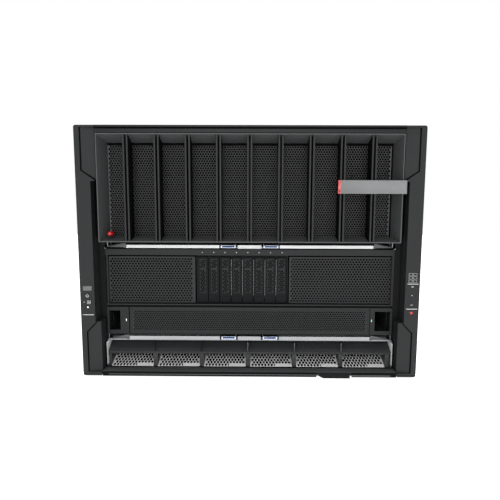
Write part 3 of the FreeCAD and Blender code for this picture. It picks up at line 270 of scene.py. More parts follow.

# painted shade: a near-black matt sheet with a foam-like skin, laid where shade falls in holes, gaps, grooves and bays
shadeBlack = grainedFinish(
    "painted_shade_black", dark="#030303", light="#070708", cloud=8, grain=2.0, rough=(0.85, 0.95), bump=0.8,
    ior=1.45, shine=0.08)

# painted shadow: matt black strips along the lip where its shadow falls, no shine
lipShadowBlack = grainedFinish(
    "painted_lip_shadow", dark="#050505", light="#090909", cloud=20, grain=1.2, rough=(0.75, 0.9), bump=0.15,
    ior=1.52, shine=0.1)

# moulded epoxy of the chips and fans: near black, fine sand texture
chipEpoxy = grainedFinish(
    "moulded_epoxy", dark="#141516", light="#1b1c1d", cloud=10, grain=0.6, rough=(0.45, 0.6), bump=0.2, ior=1.55)

# nylon of connectors and sockets on the boards: black with a slight shine
connectorNylon = grainedFinish(
    "connector_nylon", dark="#1d1e20", light="#26272a", cloud=20, grain=0.7, rough=(0.45, 0.6), bump=0.15, ior=1.53)
print("finishes made")

# modelling helpers, all in millimetres
toFront, toRear, toTop = (0, -1, 0), (0, 1, 0), (0, 0, 1)
bothSides = (-1, 1)
upright = (math.pi / 2, 0, 0)  # stands a flat circle up, facing the front
close = 0.01 * mm  # points nearer than this are one


def clearSelection():
    if bpy.context.object and bpy.context.object.mode != "OBJECT":
        bpy.ops.object.mode_set(mode="OBJECT")
    bpy.ops.object.select_all(action="DESELECT")


def onlySelect(piece):
    clearSelection()
    piece.select_set(True)
    bpy.context.view_layer.objects.active = piece


def settle(piece):
    onlySelect(piece)
    bpy.ops.object.transform_apply(location=True, rotation=True, scale=True)
    return piece


# edit mode with all of the piece selected
def editAll(piece):
    onlySelect(piece)
    bpy.ops.object.mode_set(mode="EDIT")
    bpy.ops.mesh.select_all(action="SELECT")


def leaveEdit(outward=False):
    if outward:  # every face is turned to the outside first
        bpy.ops.mesh.select_all(action="SELECT")
        bpy.ops.mesh.normals_make_consistent(inside=False)
    bpy.ops.object.mode_set(mode="OBJECT")


# picks the faces that pass a test, ready for an edit-mode operator
def pickFaces(piece, test):
    onlySelect(piece)
    bpy.ops.object.mode_set(mode="EDIT")
    bpy.ops.mesh.select_mode(type="FACE")
    bpy.ops.mesh.select_all(action="DESELECT")
    bpy.ops.object.mode_set(mode="OBJECT")
    for face in piece.data.polygons:
        face.select = test(face)
    bpy.ops.object.mode_set(mode="EDIT")


def dropFaces(piece, test):
    pickFaces(piece, test)
    bpy.ops.mesh.delete(type="FACE")
    leaveEdit()


def pushOut(shift):
    bpy.ops.mesh.extrude_region_move(TRANSFORM_OT_translate={"value": Vector(shift) * mm})


def addModifier(piece, kind, settings):
    modifier = piece.modifiers.new(kind.lower(), kind)
    for key, value in settings.items():
        setattr(modifier, key, value)
    return modifier


def applyModifier(piece, kind, settings):
    onlySelect(piece)
    bpy.ops.object.modifier_apply(modifier=addModifier(piece, kind, settings).name)
    return piece


def bevelPlan(width, segments=2, angle=35):
    return {"width": width * mm, "segments": segments, "limit_method": "ANGLE", "angle_limit": math.radians(angle)}


def bevelled(piece, width, segments=2):
    return applyModifier(piece, "BEVEL", bevelPlan(width, segments))


# repeats a piece: each row is a count and a step
def arrayed(piece, *rows, merge=0.0):
    for count, step in rows:
        applyModifier(piece, "ARRAY", {
            "count": count, "use_relative_offset": False, "use_constant_offset": True,
            "constant_offset_displace": Vector(step) * mm, "use_merge_vertices": merge > 0, "merge_threshold": merge})
    return piece


def joined(pieces):
    clearSelection()
    for piece in pieces:
        piece.select_set(True)
    bpy.context.view_layer.objects.active = pieces[0]
    if len(pieces) > 1:
        bpy.ops.object.join()
    return bpy.context.object


def copied(piece, shift):
    onlySelect(piece)
    bpy.ops.object.duplicate(linked=False)
    bpy.context.object.location = Vector(shift) * mm
    return settle(bpy.context.object)


# one piece, or a list that is joined to one, gets its name, finish and body
def done(parts, name, finish, body, replaced=()):
    piece = joined(parts) if isinstance(parts, list) else parts
    onlySelect(piece)
    bpy.ops.object.shade_smooth_by_angle(angle=math.radians(40))
    piece.name = name
    piece.data.name = name
    piece.data.materials.clear()
    piece.data.materials.append(finish)
    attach(piece, body)
    if replaced:
        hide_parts(*replaced)


# a carried-over node gets its finish, and a fine broken edge where the real one is moulded or folded
def dressNode(name, finish, edge=0.0):
    node = nodes[name]
    for slot in node.material_slots:
        slot.material = finish
    if edge:
        addModifier(node, "WELD", {"merge_threshold": close})
        addModifier(node, "DECIMATE", {"decimate_type": "DISSOLVE", "angle_limit": math.radians(1)})
        addModifier(node, "BEVEL", {**bevelPlan(edge, angle=40), "use_clamp_overlap": False, "harden_normals": True})


def block(low, high):
    clearSelection()
    low, high = Vector(low) * mm, Vector(high) * mm
    bpy.ops.mesh.primitive_cube_add(size=1, location=(low + high) / 2)
    bpy.context.object.scale = high - low
    return settle(bpy.context.object)


# in each step a rim is left round the face that looks along normal, and the middle goes in by depth
def steppedFace(piece, normal, steps):
    way = Vector(normal)
    pickFaces(piece, lambda face: face.normal.dot(way) > 0.95)
    for rim, depth in steps:
        bpy.ops.mesh.inset(thickness=rim * mm)
        pushOut(way * -depth)
    leaveEdit()
    return piece


def sunkPanel(piece, rim, depth, normal=toFront):
    return steppedFace(piece, normal, [(rim, depth)])


# a block with soft edges; sink is the rim and depth of a sunk face, and where it looks if not to the front
def softBlock(low, high, edge, segments=2, sink=()):
    piece = block(low, high)
    if sink:
        sunkPanel(piece, *sink)
    return bevelled(piece, edge, segments)


# pieces of plain blocks: each plan has its boxes, edge, finish, body and slot, or shares them with the others
def makeBlocks(plans, **shared):
    for name, plan in plans.items():
        plan = {"segments": 2, "sink": (), "rows": [], **shared, **plan}
        parts = [arrayed(softBlock(low, high, plan["edge"], plan["segments"], plan["sink"]), *plan["rows"])
                 for low, high in plan["boxes"]]
        done(parts, name, plan["finish"], plan["body"])


# a flat round facing the front
def disc(radius, place, sides, squash=1.0):
    clearSelection()
    bpy.ops.mesh.primitive_circle_add(vertices=sides, radius=radius * mm, fill_type="NGON",
                                      location=Vector(place) * mm, rotation=upright)
    bpy.context.object.scale = (1, squash, 1)
    return settle(bpy.context.object)


# a turned piece along Y: each pair is a place along the axis and the radius there
def turnedPiece(profile, centre, sides=24):
    y, radius = profile[0]
    piece = disc(radius, (centre[0], y, centre[1]), sides)
    editAll(piece)
    for nextY, nextRadius in profile[1:]:
        pushOut((0, nextY - y, 0))
        bpy.ops.transform.resize(value=(nextRadius / radius, 1, nextRadius / radius))
        y, radius = nextY, nextRadius
    leaveEdit(outward=True)
    return piece


# a turned piece along X or Z, made along Y and swung over
def swungPiece(profile, place, axis, sides=12):
    piece = turnedPiece(profile, (0, 0), sides)
    if axis == "X":
        piece.rotation_euler.z = -math.pi / 2
    else:
        piece.rotation_euler.x = math.pi / 2
    piece.location = Vector(place) * mm
    return settle(piece)


# a flat ring facing the front, open at the top by a share of its turn
def flatRing(outer, inner, centre, reach, sides, opening):
    place = Vector((centre[0], reach[0], centre[1]))

    def isOpen(face):
        away = face.center - place * mm
        return len(face.vertices) == sides or abs(math.atan2(away.x, away.z)) < opening * math.pi

    ring = disc(outer, place, sides)
    editAll(ring)
    bpy.ops.mesh.inset(thickness=(outer - inner) * mm)
    leaveEdit()
    dropFaces(ring, isOpen)
    return applyModifier(ring, "SOLIDIFY", {"thickness": (reach[1] - reach[0]) * mm, "offset": -1.0})


def wireRing(radius, centre, y, wire, sides):
    clearSelection()
    bpy.ops.mesh.primitive_torus_add(major_radius=radius * mm, minor_radius=wire * mm, major_segments=sides,
                                     minor_segments=6, location=Vector((centre[0], y, centre[1])) * mm,
                                     rotation=upright)
    return settle(bpy.context.object)


# a flat plate from its outline, with its thickness along one axis
def outlinePlate(outline, reach, axis):
    along = "XYZ".index(axis)
    corners = [list(point) for point in outline]
    for corner in corners:
        corner.insert(along, reach[0])
    mesh = bpy.data.meshes.new("plate")
    mesh.from_pydata([Vector(corner) * mm for corner in corners], [], [list(range(len(corners)))])
    plate = bpy.data.objects.new("plate", mesh)
    bpy.context.scene.collection.objects.link(plate)
    editAll(plate)
    pushOut([reach[1] - reach[0] if i == along else 0 for i in range(3)])
    leaveEdit(outward=True)
    return plate


# the solids of a node as pieces of their own, for a node that has more than one finish
def nodeParts(name):
    piece = bpy.data.objects.new(name + "_parts", nodes[name].data.copy())
    bpy.context.scene.collection.objects.link(piece)
    editAll(piece)
    bpy.ops.mesh.remove_doubles(threshold=close)
    bpy.ops.mesh.dissolve_limited(angle_limit=math.radians(0.5))
    bpy.ops.mesh.separate(type="LOOSE")
    leaveEdit()
    return list(bpy.context.selected_objects)


def middleOf(piece):
    spans = list(zip(*[v.co for v in piece.data.vertices]))
    return Vector([min(span) + max(span) for span in spans]) / 2 / mm


# perforated sheet facing the front: one six-sided cell, repeated in staggered rows, with its rim pulled to the edge
def perforatedSheet(plan, isPlain=lambda x, z: False):
    (x0, z0), (x1, z1) = plan["low"], plan["high"]
    pitch, row, sides = plan["pitch"], plan["row"], plan["sides"]
    across = int((x1 - x0 - 2 * plan["margin"] - pitch / 2) / pitch)
    pairs = int((z1 - z0 - 2 * plan["margin"]) / row / 2)
    startX = (x0 + x1 - (across - 0.5) * pitch) / 2
    startZ = (z0 + z1 - (2 * pairs - 1) * row) / 2
    start = Vector((startX, plan["y"], startZ))
    centre = start * mm
    sheet = disc(pitch / math.sqrt(3), start, sides, row / (pitch * math.sqrt(3) / 2))
    if sides == 12:  # the odd corners lie on the flats of the six-sided cell
        for vertex in list(sheet.data.vertices)[1::2]:
            vertex.co = centre + (vertex.co - centre) * math.cos(math.pi / 6)
    editAll(sheet)
    bpy.ops.mesh.inset(thickness=0.2 * pitch * mm)
    bpy.ops.transform.tosphere(value=1.0)
    leaveEdit()
    hole = max(sheet.data.polygons, key=lambda face: len(face.vertices))
    size = max((sheet.data.vertices[i].co - centre).length for i in hole.vertices)
    stretch = Vector((1, 1, plan.get("stretch", 1.0))) * (plan["hole"] / 2 * mm / size)
    for i in hole.vertices:
        vertex = sheet.data.vertices[i]
        vertex.co = centre + (vertex.co - centre) * stretch
    arrayed(sheet, (across, (pitch, 0, 0)), (2, (pitch / 2, 0, row)), (pairs, (0, 0, 2 * row)), merge=2 * close)
    bpy.ops.object.mode_set(mode="EDIT")
    bpy.ops.mesh.select_all(action="DESELECT")
    bpy.ops.mesh.select_mode(type="VERT")
    bpy.ops.mesh.select_non_manifold()
    leaveEdit()
    rim = [v for v in sheet.data.vertices if v.select]
    topZ = (startZ + (2 * pairs - 1) * row) * mm
    lowRun = sorted([v for v in rim if v.co.z < startZ * mm - close], key=lambda v: v.co.x)
    highRun = sorted([v for v in rim if v.co.z > topZ + close], key=lambda v: v.co.x)
    ends = [lowRun[0], lowRun[-1], highRun[0], highRun[-1]]
    edgeRun = set(v.index for v in lowRun + highRun) - set(v.index for v in ends)
    for v in rim:
        if v.index not in edgeRun:
            v.co.x = x0 * mm if v.co.x < (x0 + x1) / 2 * mm else x1 * mm
    for run, level in ((lowRun, z0), (highRun, z1)):
        for v in run:
            v.co.z = level * mm
    dropFaces(sheet, lambda face: len(face.vertices) == sides
              and not isPlain(face.center.x / mm, face.center.z / mm))
    return applyModifier(sheet, "SOLIDIFY", {"thickness": plan["sheet"] * mm, "offset": -1.0})


# bezel of the accelerator sled
bezelGrille = {"low": (-202.6, 196.7), "high": (200.8, 328.8), "margin": 0.0, "y": -7.0, "pitch": 3.7, "row": 3.3,
               "hole": 3.7, "sheet": 0.5, "sides": 6}
done(perforatedSheet(bezelGrille), "bezel_grille", meshPaint, "gpu_sled", ["bezel_mesh"])
print("bezel grille made")

# vent panels each side of the drives: pans with a plain rim, punched with round holes
ventPlan = {"pans": [(-209.4, -80.0), (58.2, 209.4)], "z": (100.2, 169.4), "y": (-4.0, 4.0), "wall": 1.2,
            "punch": {"margin": 1.4, "pitch": 4.3, "row": 3.65, "hole": 2.9, "sides": 12}}


def ventPan(x0, x1):
    (z0, z1), (front, rear), wall = ventPlan["z"], ventPlan["y"], ventPlan["wall"]
    sheet = perforatedSheet({**ventPlan["punch"], "low": (x0, z0), "high": (x1, z1), "y": front, "sheet": wall})
    rims = [(x0, x0 + wall, z0, z1), (x1 - wall, x1, z0, z1), (x0 + wall, x1 - wall, z0, z0 + wall),
            (x0 + wall, x1 - wall, z1 - wall, z1)]
    return joined([sheet] + [block((left, front + wall, low), (right, rear, high)) for left, right, low, high in rims])


done([ventPan(*pan) for pan in ventPlan["pans"]], "vent_grilles", gridPaint, "compute_node",
     ["vent_panels"])
print("vent grilles made")

# painted shade: black sheets behind the grilles, in the lever bays and in gaps, where shade falls, so that they read
# black
# the grips are lined with the moulding of the ears, as painted shade over the zinc wall behind
finPlan = {"count": 9, "pitch": 42.7, "flank": 3.66, "skin": 0.06}
shadePads = {
    "bezel_shade_backing": {"body": "gpu_sled", "boxes": [((-209.0, -5.98, 196.8), (209.0, -5.8, 340.9))]},
    "vent_shade_backings": {"body": "compute_node", "boxes": [
        ((-207.9, -0.6, 101.6), (-81.5, 3.8, 168.0)), ((59.7, -0.6, 101.6), (207.9, 3.8, 168.0)),
        ((-209.6, -1.4, 169.5), (-79.8, -0.9, 171.8)), ((58.0, -1.4, 169.5), (209.6, -0.9, 171.8)),
        ((-209.6, -1.4, 98.6), (-79.8, -0.9, 100.1)), ((58.0, -1.4, 98.6), (209.6, -0.9, 100.1))]},
    "grip_shade_liners": {"body": "chassis", "finish": charcoalAbs, "boxes": [
        ((side * x - half, -16.3 - lap, 60.0), (side * x + half, rear, 292.0))
        for side in bothSides for x, half, lap, rear in ((221.3, 0.15, 0.0, -2.2), (222.2, 1.0, 0.2, -16.05))]},
    "tray_lug_shade_strips": {"body": "gpu_sled", "boxes": [
        ((side * 193.0 - 16.2, -11.9, 182.3), (side * 193.0 + 16.2, -10.9, 183.9)) for side in bothSides]},
    "front_edge_shade_strip": {"body": "compute_node", "boxes": [
        ((-210.7, -8.12, 99.0), (-209.6, -7.9, 171.6)), ((-210.6, -8.12, 95.5), (210.6, -7.9, 97.2))]},
    "shelf_edge_shade_strip": {"body": "chassis", "boxes": [((-209.0, -6.6, 180.9), (209.0, -5.9, 182.3))]},
    "fin_shade_liners": {"body": "gpu_sled", "boxes": [
        ((x - finPlan["skin"], -32.6, 195.4), (x + finPlan["skin"], -7.1, 342.3))
        for x in [side * finPlan["flank"] + (i - 4) * finPlan["pitch"]
                  for i in range(finPlan["count"]) for side in bothSides]]},
    "network_shade_backing": {"body": "network_sled", "boxes": [((-173.6, -7.38, 59.4), (173.6, -7.22, 88.9))]},
    "panel_shade_gaps": {"body": "network_sled", "boxes": [
        ((-178.8, -8.06, 54.0), (-177.4, -7.9, 94.4)), ((177.5, -8.06, 54.0), (178.4, -7.9, 94.4)),
        ((-210.6, -8.06, 94.3), (210.6, -7.9, 94.85))]},
    "gpu_bay_shade_liner": {"body": "gpu_sled", "boxes": [
        ((-176.0, 4.0, 183.72), (176.0, 12.9, 184.0)), ((-207.0, 12.0, 184.2), (207.0, 12.95, 195.4))]},
    "compute_bay_shade_liner": {"body": "compute_node", "boxes": [
        ((-176.0, 8.0, 45.92), (176.0, 16.9, 46.2)), ((-207.0, 16.0, 46.4), (207.0, 16.95, 51.4))]},
}
makeBlocks(shadePads, finish=shadeBlack, slot="black_plastic", edge=0.02, segments=1)

# grille of the network sled, in the shallow recess of its panel
networkGrille = {"low": (-174.1, 59.0), "high": (174.1, 89.3), "margin": 0.2, "y": -7.9, "pitch": 3.5, "row": 2.95,
                 "hole": 2.65, "sheet": 0.5, "sides": 6}
done(perforatedSheet(networkGrille), "network_grille", gridPaint, "network_sled")
print("network grille made")

# sloped intake plates of the power bay: zinc painted near white as painted light, with oblong holes, a pressed tab
# under the lower right corner
intakePlan = {"half": 31.2, "drop": 3.7, "run": 30.0, "rise": 11.0, "front": -6.0, "foot": 5.7, "pitch": 69.2,
              "shift": -2.0, "tab": ((6.0, 0.42, -3.2), (30.6, 0.6, 4.0)),
              "shadeSheet": ((-30.8, 0.62, 0.6), (30.8, 0.9, 31.0)),
              "punch": {"margin": 0.5, "y": 0.0, "pitch": 4.8, "row": 5.7, "hole": 3.7, "stretch": 1.8, "sheet": 0.4,
                        "sides": 12}}
slopeLength = math.hypot(intakePlan["run"], intakePlan["rise"])
slopeTurn = math.atan2(intakePlan["rise"], intakePlan["run"]) - math.pi / 2


def onSlope(piece, bay):
    piece.rotation_euler.x = slopeTurn
    x = (bay - 2.5) * intakePlan["pitch"] + intakePlan["shift"]
    piece.location = Vector((x, intakePlan["front"], intakePlan["foot"])) * mm
    return settle(piece)


screens, tabs, pads = [], [], []
for bay in range(6):
    screen = perforatedSheet({**intakePlan["punch"], "low": (-intakePlan["half"], -intakePlan["drop"]),
                              "high": (intakePlan["half"], slopeLength - 0.1)})
    screens.append(onSlope(screen, bay))
    tabs.append(onSlope(softBlock(*intakePlan["tab"], 0.05, 1), bay))
    # a black sheet under each plate is painted shade, so that its holes read black
    pads.append(onSlope(sunkPanel(block(*intakePlan["shadeSheet"]), 0.5, 0.1), bay))
done(screens, "intake_grilles", litZinc, "chassis", ["intake_screens"])
done(tabs, "intake_tabs", litZinc, "chassis")
done(pads, "intake_shade_backings", shadeBlack, "chassis")
print("intake grilles made")

# drive fronts: a punched strip in each carrier's recess with a plain chevron, and spring fingers on its left flank
driveFront = {"first": -69.0, "pitch": 16.6, "count": 8, "half": 4.5, "z": (114.9, 165.5),
              "chevron": {"z": 150.5, "half": 0.6, "slope": 0.8},
              "backing": ((-73.4, -1.2, 115.0), (-64.6, -1.02, 165.4)),
              "finger": ((-77.3, -0.2, 111.0), (-76.55, 2.0, 113.9)), "fingers": (13, (0, 0, 4.2)),
              "punch": {"margin": 0.1, "y": -1.85, "pitch": 3.5, "row": 3.03, "hole": 3.2, "sheet": 0.5, "sides": 6}}
driveRow = (driveFront["count"], (driveFront["pitch"], 0, 0))


def onChevron(x, z):
    chevron = driveFront["chevron"]
    return abs(z - chevron["z"]) < chevron["half"] + chevron["slope"] * abs(x - driveFront["first"])


# copies of the first drive's parts ride on each carrier
def perDrive(template, name, finish, first=1):
    for i in range(first, driveFront["count"] + 1):
        copy = copied(template, ((i - 1) * driveFront["pitch"], 0, 0))
        done(copy, f"{name}_{i}", finish, f"drive_carrier_{i}")
    bpy.data.objects.remove(template)


faceStrip = perforatedSheet({
    **driveFront["punch"], "low": (driveFront["first"] - driveFront["half"], driveFront["z"][0]),
    "high": (driveFront["first"] + driveFront["half"], driveFront["z"][1])}, onChevron)
perDrive(faceStrip, "drive_face", carrierMesh)
# the black sheet behind each punched strip is painted shade, so that its holes read black
perDrive(sunkPanel(block(*driveFront["backing"]), 0.3, 0.05), "drive_shade_backing", shadeBlack)
fingers = arrayed(softBlock(*driveFront["finger"], 0.35), driveFront["fingers"])
perDrive(fingers, "drive_fingers", springSteel, 4)  # the left three have theirs on the hidden rear end
print("drive fronts made")

# proud sill under the drives, one lamp in each end block of the network sled, and light pipes over the drives
sillAndLamps = {
    "drive_sill": {"finish": powderCoat, "body": "compute_node", "slot": "black_steel", "sink": (0.3, 0.05),
                   "edge": 0.1, "boxes": [((-210.6, -8.3, 97.4), (210.6, -7.9, 99.45))]},
    "network_lamp_white": {"finish": lampWhite, "boxes": [((-183.4, -8.3, 72.9), (-182.1, -7.8, 76.3))]},
    "network_lamp_green": {"finish": lampGreen, "boxes": [((179.9, -8.3, 73.5), (181.2, -7.8, 76.9))]},
}
makeBlocks(sillAndLamps, body="network_sled", slot="lens_white", edge=0.2)
pipePlan = {"z": 176.3, "profile": [(-7.7, 0.75), (-8.1, 0.75), (-8.3, 0.45), (-8.35, 0.15)]}
pipe = turnedPiece(pipePlan["profile"], (driveFront["first"], pipePlan["z"]), 12)
done(arrayed(pipe, driveRow), "drive_lamps", printInk, "compute_node")

# prints on the ears: stripes, small marks, and windows in rims
earFace = -34.0
printMarks = [(-238.0, 88.6, -222.4, 89.6), (223.3, 135.5, 238.7, 136.5), (223.0, 99.3, 238.7, 100.3),
              (228.9, 131.4, 232.1, 132.4), (229.7, 118.8, 231.2, 120.0), (228.8, 105.3, 232.2, 106.0),
              (-236.2, 107.0, -235.0, 108.2)]
windowRows = [(2, (6.3, 0, 0)), (3, (0, 0, 4.8))]
earPrints = {
    "ear_prints": {"finish": printInk, "edge": 0.08, "boxes": [
        ((x0, earFace - 0.12, z0), (x1, earFace + 0.3, z1)) for x0, z0, x1, z1 in printMarks]},
    "icon_frames": {"finish": fadedInk, "edge": 0.5, "rows": windowRows, "boxes": [
        ((224.5, earFace - 0.1, 138.1), (230.2, earFace + 0.3, 142.1))]},
    "icon_windows": {"finish": innerBlack, "slot": "black_plastic", "edge": 0.4, "rows": windowRows, "boxes": [
        ((225.1, earFace - 0.16, 138.7), (229.6, earFace + 0.3, 141.5))]},
}
makeBlocks(earPrints, body="chassis", slot="lens_white")

# the power and identity icons ride on their buttons
iconPlan = {"y": (earFace - 0.7, earFace - 0.4), "ring": (2.2, 1.55), "gap": 0.16, "power": (-230.5, 116.9),
            "identity": (-228.5, 107.5), "dot": [(earFace - 0.4, 0.9), (earFace - 0.7, 0.9), (earFace - 0.76, 0.5)]}
front, rear = iconPlan["y"]
done([flatRing(*iconPlan["ring"], iconPlan["power"], iconPlan["y"], 32, iconPlan["gap"]),
      softBlock((-230.8, front, 117.4), (-230.2, rear, 119.5), 0.06)],
     "power_icon", printInk, "power_button")
done([sunkPanel(block((-231.0, front, 105.2), (-226.0, rear, 109.8)), 0.5, 0.2),
      turnedPiece(iconPlan["dot"], iconPlan["identity"], 16)],
     "identity_icon", printInk, "id_button")

# lenses and plates of the ears: each with its finish, slot and edge
indicatorPlan = {
    "status_plate": (plateFilm, "lens_white", 0.15, 2), "icon_plate": (charcoalAbs, "lens_white", 0.15, 2),
    "status_lens": (charcoalAbs, "lens_white", 0.3, 2), "alarm_lamp": (redGloss, "red_plastic", 0.5, 3)}
statusDot = [(earFace + 0.3, 1.1), (earFace - 0.05, 1.1), (earFace - 0.12, 0.6)]
for part in nodeParts("ear_indicators"):
    x, y, z = middleOf(part)
    left, right = ("status_plate", "icon_plate") if z > 120 else ("status_lens", "alarm_lamp")
    name = left if x < 0 else right
    finish, slot, edge, segments = indicatorPlan[name]
    done(bevelled(part, edge, segments), name, finish, "chassis", ["ear_indicators"])
    if name == "status_lens":
        done(turnedPiece(statusDot, (x, z), 16), "status_lamp", lampWhite, "chassis")
print("ear prints made")

# painted shade: black lines where the lower facets of the ears step down from their lands; they lie on the leaning
# facets
stepShadePlan = {"land": 233.7, "depth": 2.0, "lean": math.tan(math.radians(7)), "width": 1.7, "proud": 0.35, "thick": 0.9,
            "grip": 150.0, "runs": [((233.7, 351.6), (233.7, 293.0)), ((233.7, 293.0), (214.0, 279.2)),
                                    ((233.7, 4.2), (233.7, 64.0)), ((233.7, 64.0), (220.6, 77.8))]}


def facetShadeLine(run, side):
    start, end = Vector(run[0]), Vector(run[1])
    away = (end - start).normalized() * stepShadePlan["width"]
    # the facets lie inside and away from the grip
    across = Vector((-abs(away.y), math.copysign(away.x, start.y - stepShadePlan["grip"])))
    shadeLine = outlinePlate([start, end, end + across, start + across], (0.0, stepShadePlan["thick"]), "Y")
    face = earFace + stepShadePlan["depth"] - stepShadePlan["proud"]
    for vertex in shadeLine.data.vertices:
        vertex.co.y += (face + (stepShadePlan["land"] - vertex.co.x / mm) * stepShadePlan["lean"]) * mm
        vertex.co.x *= side
    editAll(shadeLine)
    leaveEdit(outward=True)
    return bevelled(shadeLine, 0.1)


done([facetShadeLine(run, side) for run in stepShadePlan["runs"] for side in bothSides], "ear_step_shades", shadeBlack, "chassis")

# painted shade: black in the groove of the hood; bands and ribs over the front of the hood and of the lip below the
# intake, the lip bands black as painted shadow
bandPlan = {
    "hood_groove_shade": {"finish": shadeBlack, "slot": "black_plastic", "sink": (0.3, 0.4), "edge": 0.1,
                    "boxes": [((-213.0, -32.6, 349.9), (213.0, -30.1, 352.1))]},
    "hood_edge": {"finish": powderCoat, "boxes": [((-213.0, -34.1, 352.3), (213.0, -33.6, 354.7))]},
    "hood_band": {"finish": powderCoat, "boxes": [((-213.0, -34.1, 344.8), (213.0, -33.6, 349.7))]},
    "lip_band_left": {"finish": lipShadowBlack, "boxes": [((-213.0, -34.1, -1.9), (97.6, -33.6, 4.9))]},
    "lip_band_right": {"finish": lipShadowBlack, "boxes": [((148.4, -34.1, -1.9), (213.0, -33.6, 4.9))]},
    "lip_rib_left": {"finish": bezelAbs, "boxes": [((-204.0, -34.3, 0.5), (97.6, -34.0, 1.7))]},
    "lip_rib_right": {"finish": bezelAbs, "boxes": [((148.4, -34.3, -0.7), (204.0, -34.0, 1.3))]},
    "lip_cover": {"finish": bezelAbs, "boxes": [((-213.0, -33.9, 5.15), (213.0, -17.1, 5.4))]},
}
makeBlocks(bandPlan, body="chassis", slot="black_steel", edge=0.15)

# moulded foot along the bottom of each ear, its outer corner cut off
footPlan = {"outline": [(214.2, 1.4), (241.2, 1.4), (241.2, 0.8), (238.9, -1.5), (214.2, -1.5)], "y": (-34.0, -3.0)}
feet = [outlinePlate([(side * x, z) for x, z in footPlan["outline"]], footPlan["y"], "Y") for side in bothSides]
done([bevelled(foot, 0.4) for foot in feet], "ear_feet", charcoalAbs, "chassis")

# red release knob of the bezel, turned with a domed head on a slim stem
knobPlan = {"centre": (-198.0, 204.8), "neck": -17.05, "oval": 0.24, "profile": [
    (-2.6, 1.8), (-17.0, 1.8), (-17.2, 3.6), (-18.4, 4.4), (-20.5, 4.7), (-23.2, 4.6), (-25.4, 3.9), (-27.0, 2.8),
    (-27.8, 1.4), (-28.0, 0.4)]}
knob = turnedPiece(knobPlan["profile"], knobPlan["centre"], 32)
for vertex in knob.data.vertices:  # its head is a flat oval
    if vertex.co.y < knobPlan["neck"] * mm:
        vertex.co.z += (knobPlan["centre"][1] * mm - vertex.co.z) * knobPlan["oval"]
done(knob, "release_knob", redGloss, "bezel_knob", ["bezel_knob"])

# levers: a bright cap on each catch bar, a blue bar on each pale latch, bent ends darkened as painted shade, and black
# strips of painted shade
# along the top of caps, latches and levers, where shade falls from the parts above
leverPlan = {
    "gpu": {"body": "gpu_sled", "plate": satinNickel, "face": -14.0, "z": (183.6, 190.0), "bar": (0.9, 3.0),
            "shadeHeight": 2.6},
    "compute": {"body": "compute_node", "plate": dullNickel, "face": -10.0, "z": (45.8, 52.2), "bar": (1.7, 3.9),
                "shadeHeight": 1.6},
}
leverTrim = {"proud": 0.42, "lap": 0.3, "cap": 17.1, "lever": (43.1, 178.8), "end": (42.2, 43.6), "latch": (20.2, 41.2),
            "lid": 0.16, "lidDepth": 7.8, "capTop": 0.32, "tailProud": 0.25, "barWidth": 17.7, "barY": (-0.35, 0.4),
            "bars": {"left": -39.5, "right": 21.8},
            "tail": [(178.0, 0.0), (179.0, 0.0), (184.0, 1.1), (204.0, 1.1), (204.0, 2.7), (182.0, 7.0), (178.0, 7.0)]}
lap, cap = leverTrim["lap"], leverTrim["cap"]


def shadeStrip(plan, x0, x1, top):
    front = plan["face"] - leverTrim["proud"]
    return softBlock((x0, front, top - plan["shadeHeight"]), (x1, plan["face"] + lap, top), 0.15)


for sled, plan in leverPlan.items():
    face, (low, high), (foot, head) = plan["face"], plan["z"], plan["bar"]
    catchCap = softBlock((-cap, face - lap, low - lap), (cap, face + lap, high + lap), 0.15, sink=(0.4, 0.06))
    done(catchCap, f"{sled}_catch_cap", plan["plate"], plan["body"])
    catchShade = shadeStrip(plan, -cap, cap, high + leverTrim["capTop"])
    done(catchShade, f"{sled}_catch_shade_strip", shadeBlack, plan["body"])
    for side, name in ((-1, "left"), (1, "right")):
        lever, latch = f"{sled}_lever_{name}", f"{sled}_latch_{name}"
        x0, (front, rear) = leverTrim["bars"][name], leverTrim["barY"]
        bar = softBlock((x0, face + front, low + foot), (x0 + leverTrim["barWidth"], face + rear, low + head), 0.06,
                        sink=(0.4, 0.15))
        done(bar, f"{sled}_latch_pad_{name}", bluePolycarbonate, latch)
        x0, x1 = sorted(side * x for x in leverTrim["end"])
        end = softBlock((x0, face - leverTrim["proud"], low - lap), (x1, face + lap, high + lap), 0.1)
        strip = shadeStrip(plan, *sorted(side * x for x in leverTrim["lever"]), high + lap)
        done([strip, end], f"{sled}_lever_shade_strip_{name}", shadeBlack, lever)
        x0, x1 = sorted(side * x for x in leverTrim["latch"])
        lid = softBlock((x0, face - lap, high), (x1, face + leverTrim["lidDepth"], high + leverTrim["lid"]), 0.05, 1)
        done([shadeStrip(plan, x0, x1, high), lid], f"{sled}_latch_shade_strip_{name}", shadeBlack, latch)
        tail = [(side * x, low - lap + z) for x, z in leverTrim["tail"]]
        tail = bevelled(outlinePlate(tail, (face - leverTrim["tailProud"], face + lap), "Y"), 0.12)
        done(tail, f"{sled}_lever_tail_{name}", shadedLeverSteel, lever)

# blades that part the intake flaps: black nylon on the right face of each, and zinc on the left face of the right
# three as painted light, where light falls from the left
bladePlan = {"y": (-11.6, 21.6), "z": (27.3, 41.8), "layers": [
    ("blade_lit_left_faces", -0.45, 0.0, 3, galvanised, "galvanised_steel"),
    ("blade_right_faces", 0.0, 0.6, 1, carrierNylon, "black_plastic")]}


def intakeBlade(x0, x1):
    (front, rear), (low, high) = bladePlan["y"], bladePlan["z"]
    blade = block((x0, front, low), (x1, rear, high))
    editAll(blade)
    bpy.ops.mesh.bisect(plane_co=Vector((x0, front, low + 0.4)) * mm, plane_no=(0, low - high, rear - front),
                        use_fill=True, clear_inner=True)
    leaveEdit()
    return bevelled(blade, 0.1)


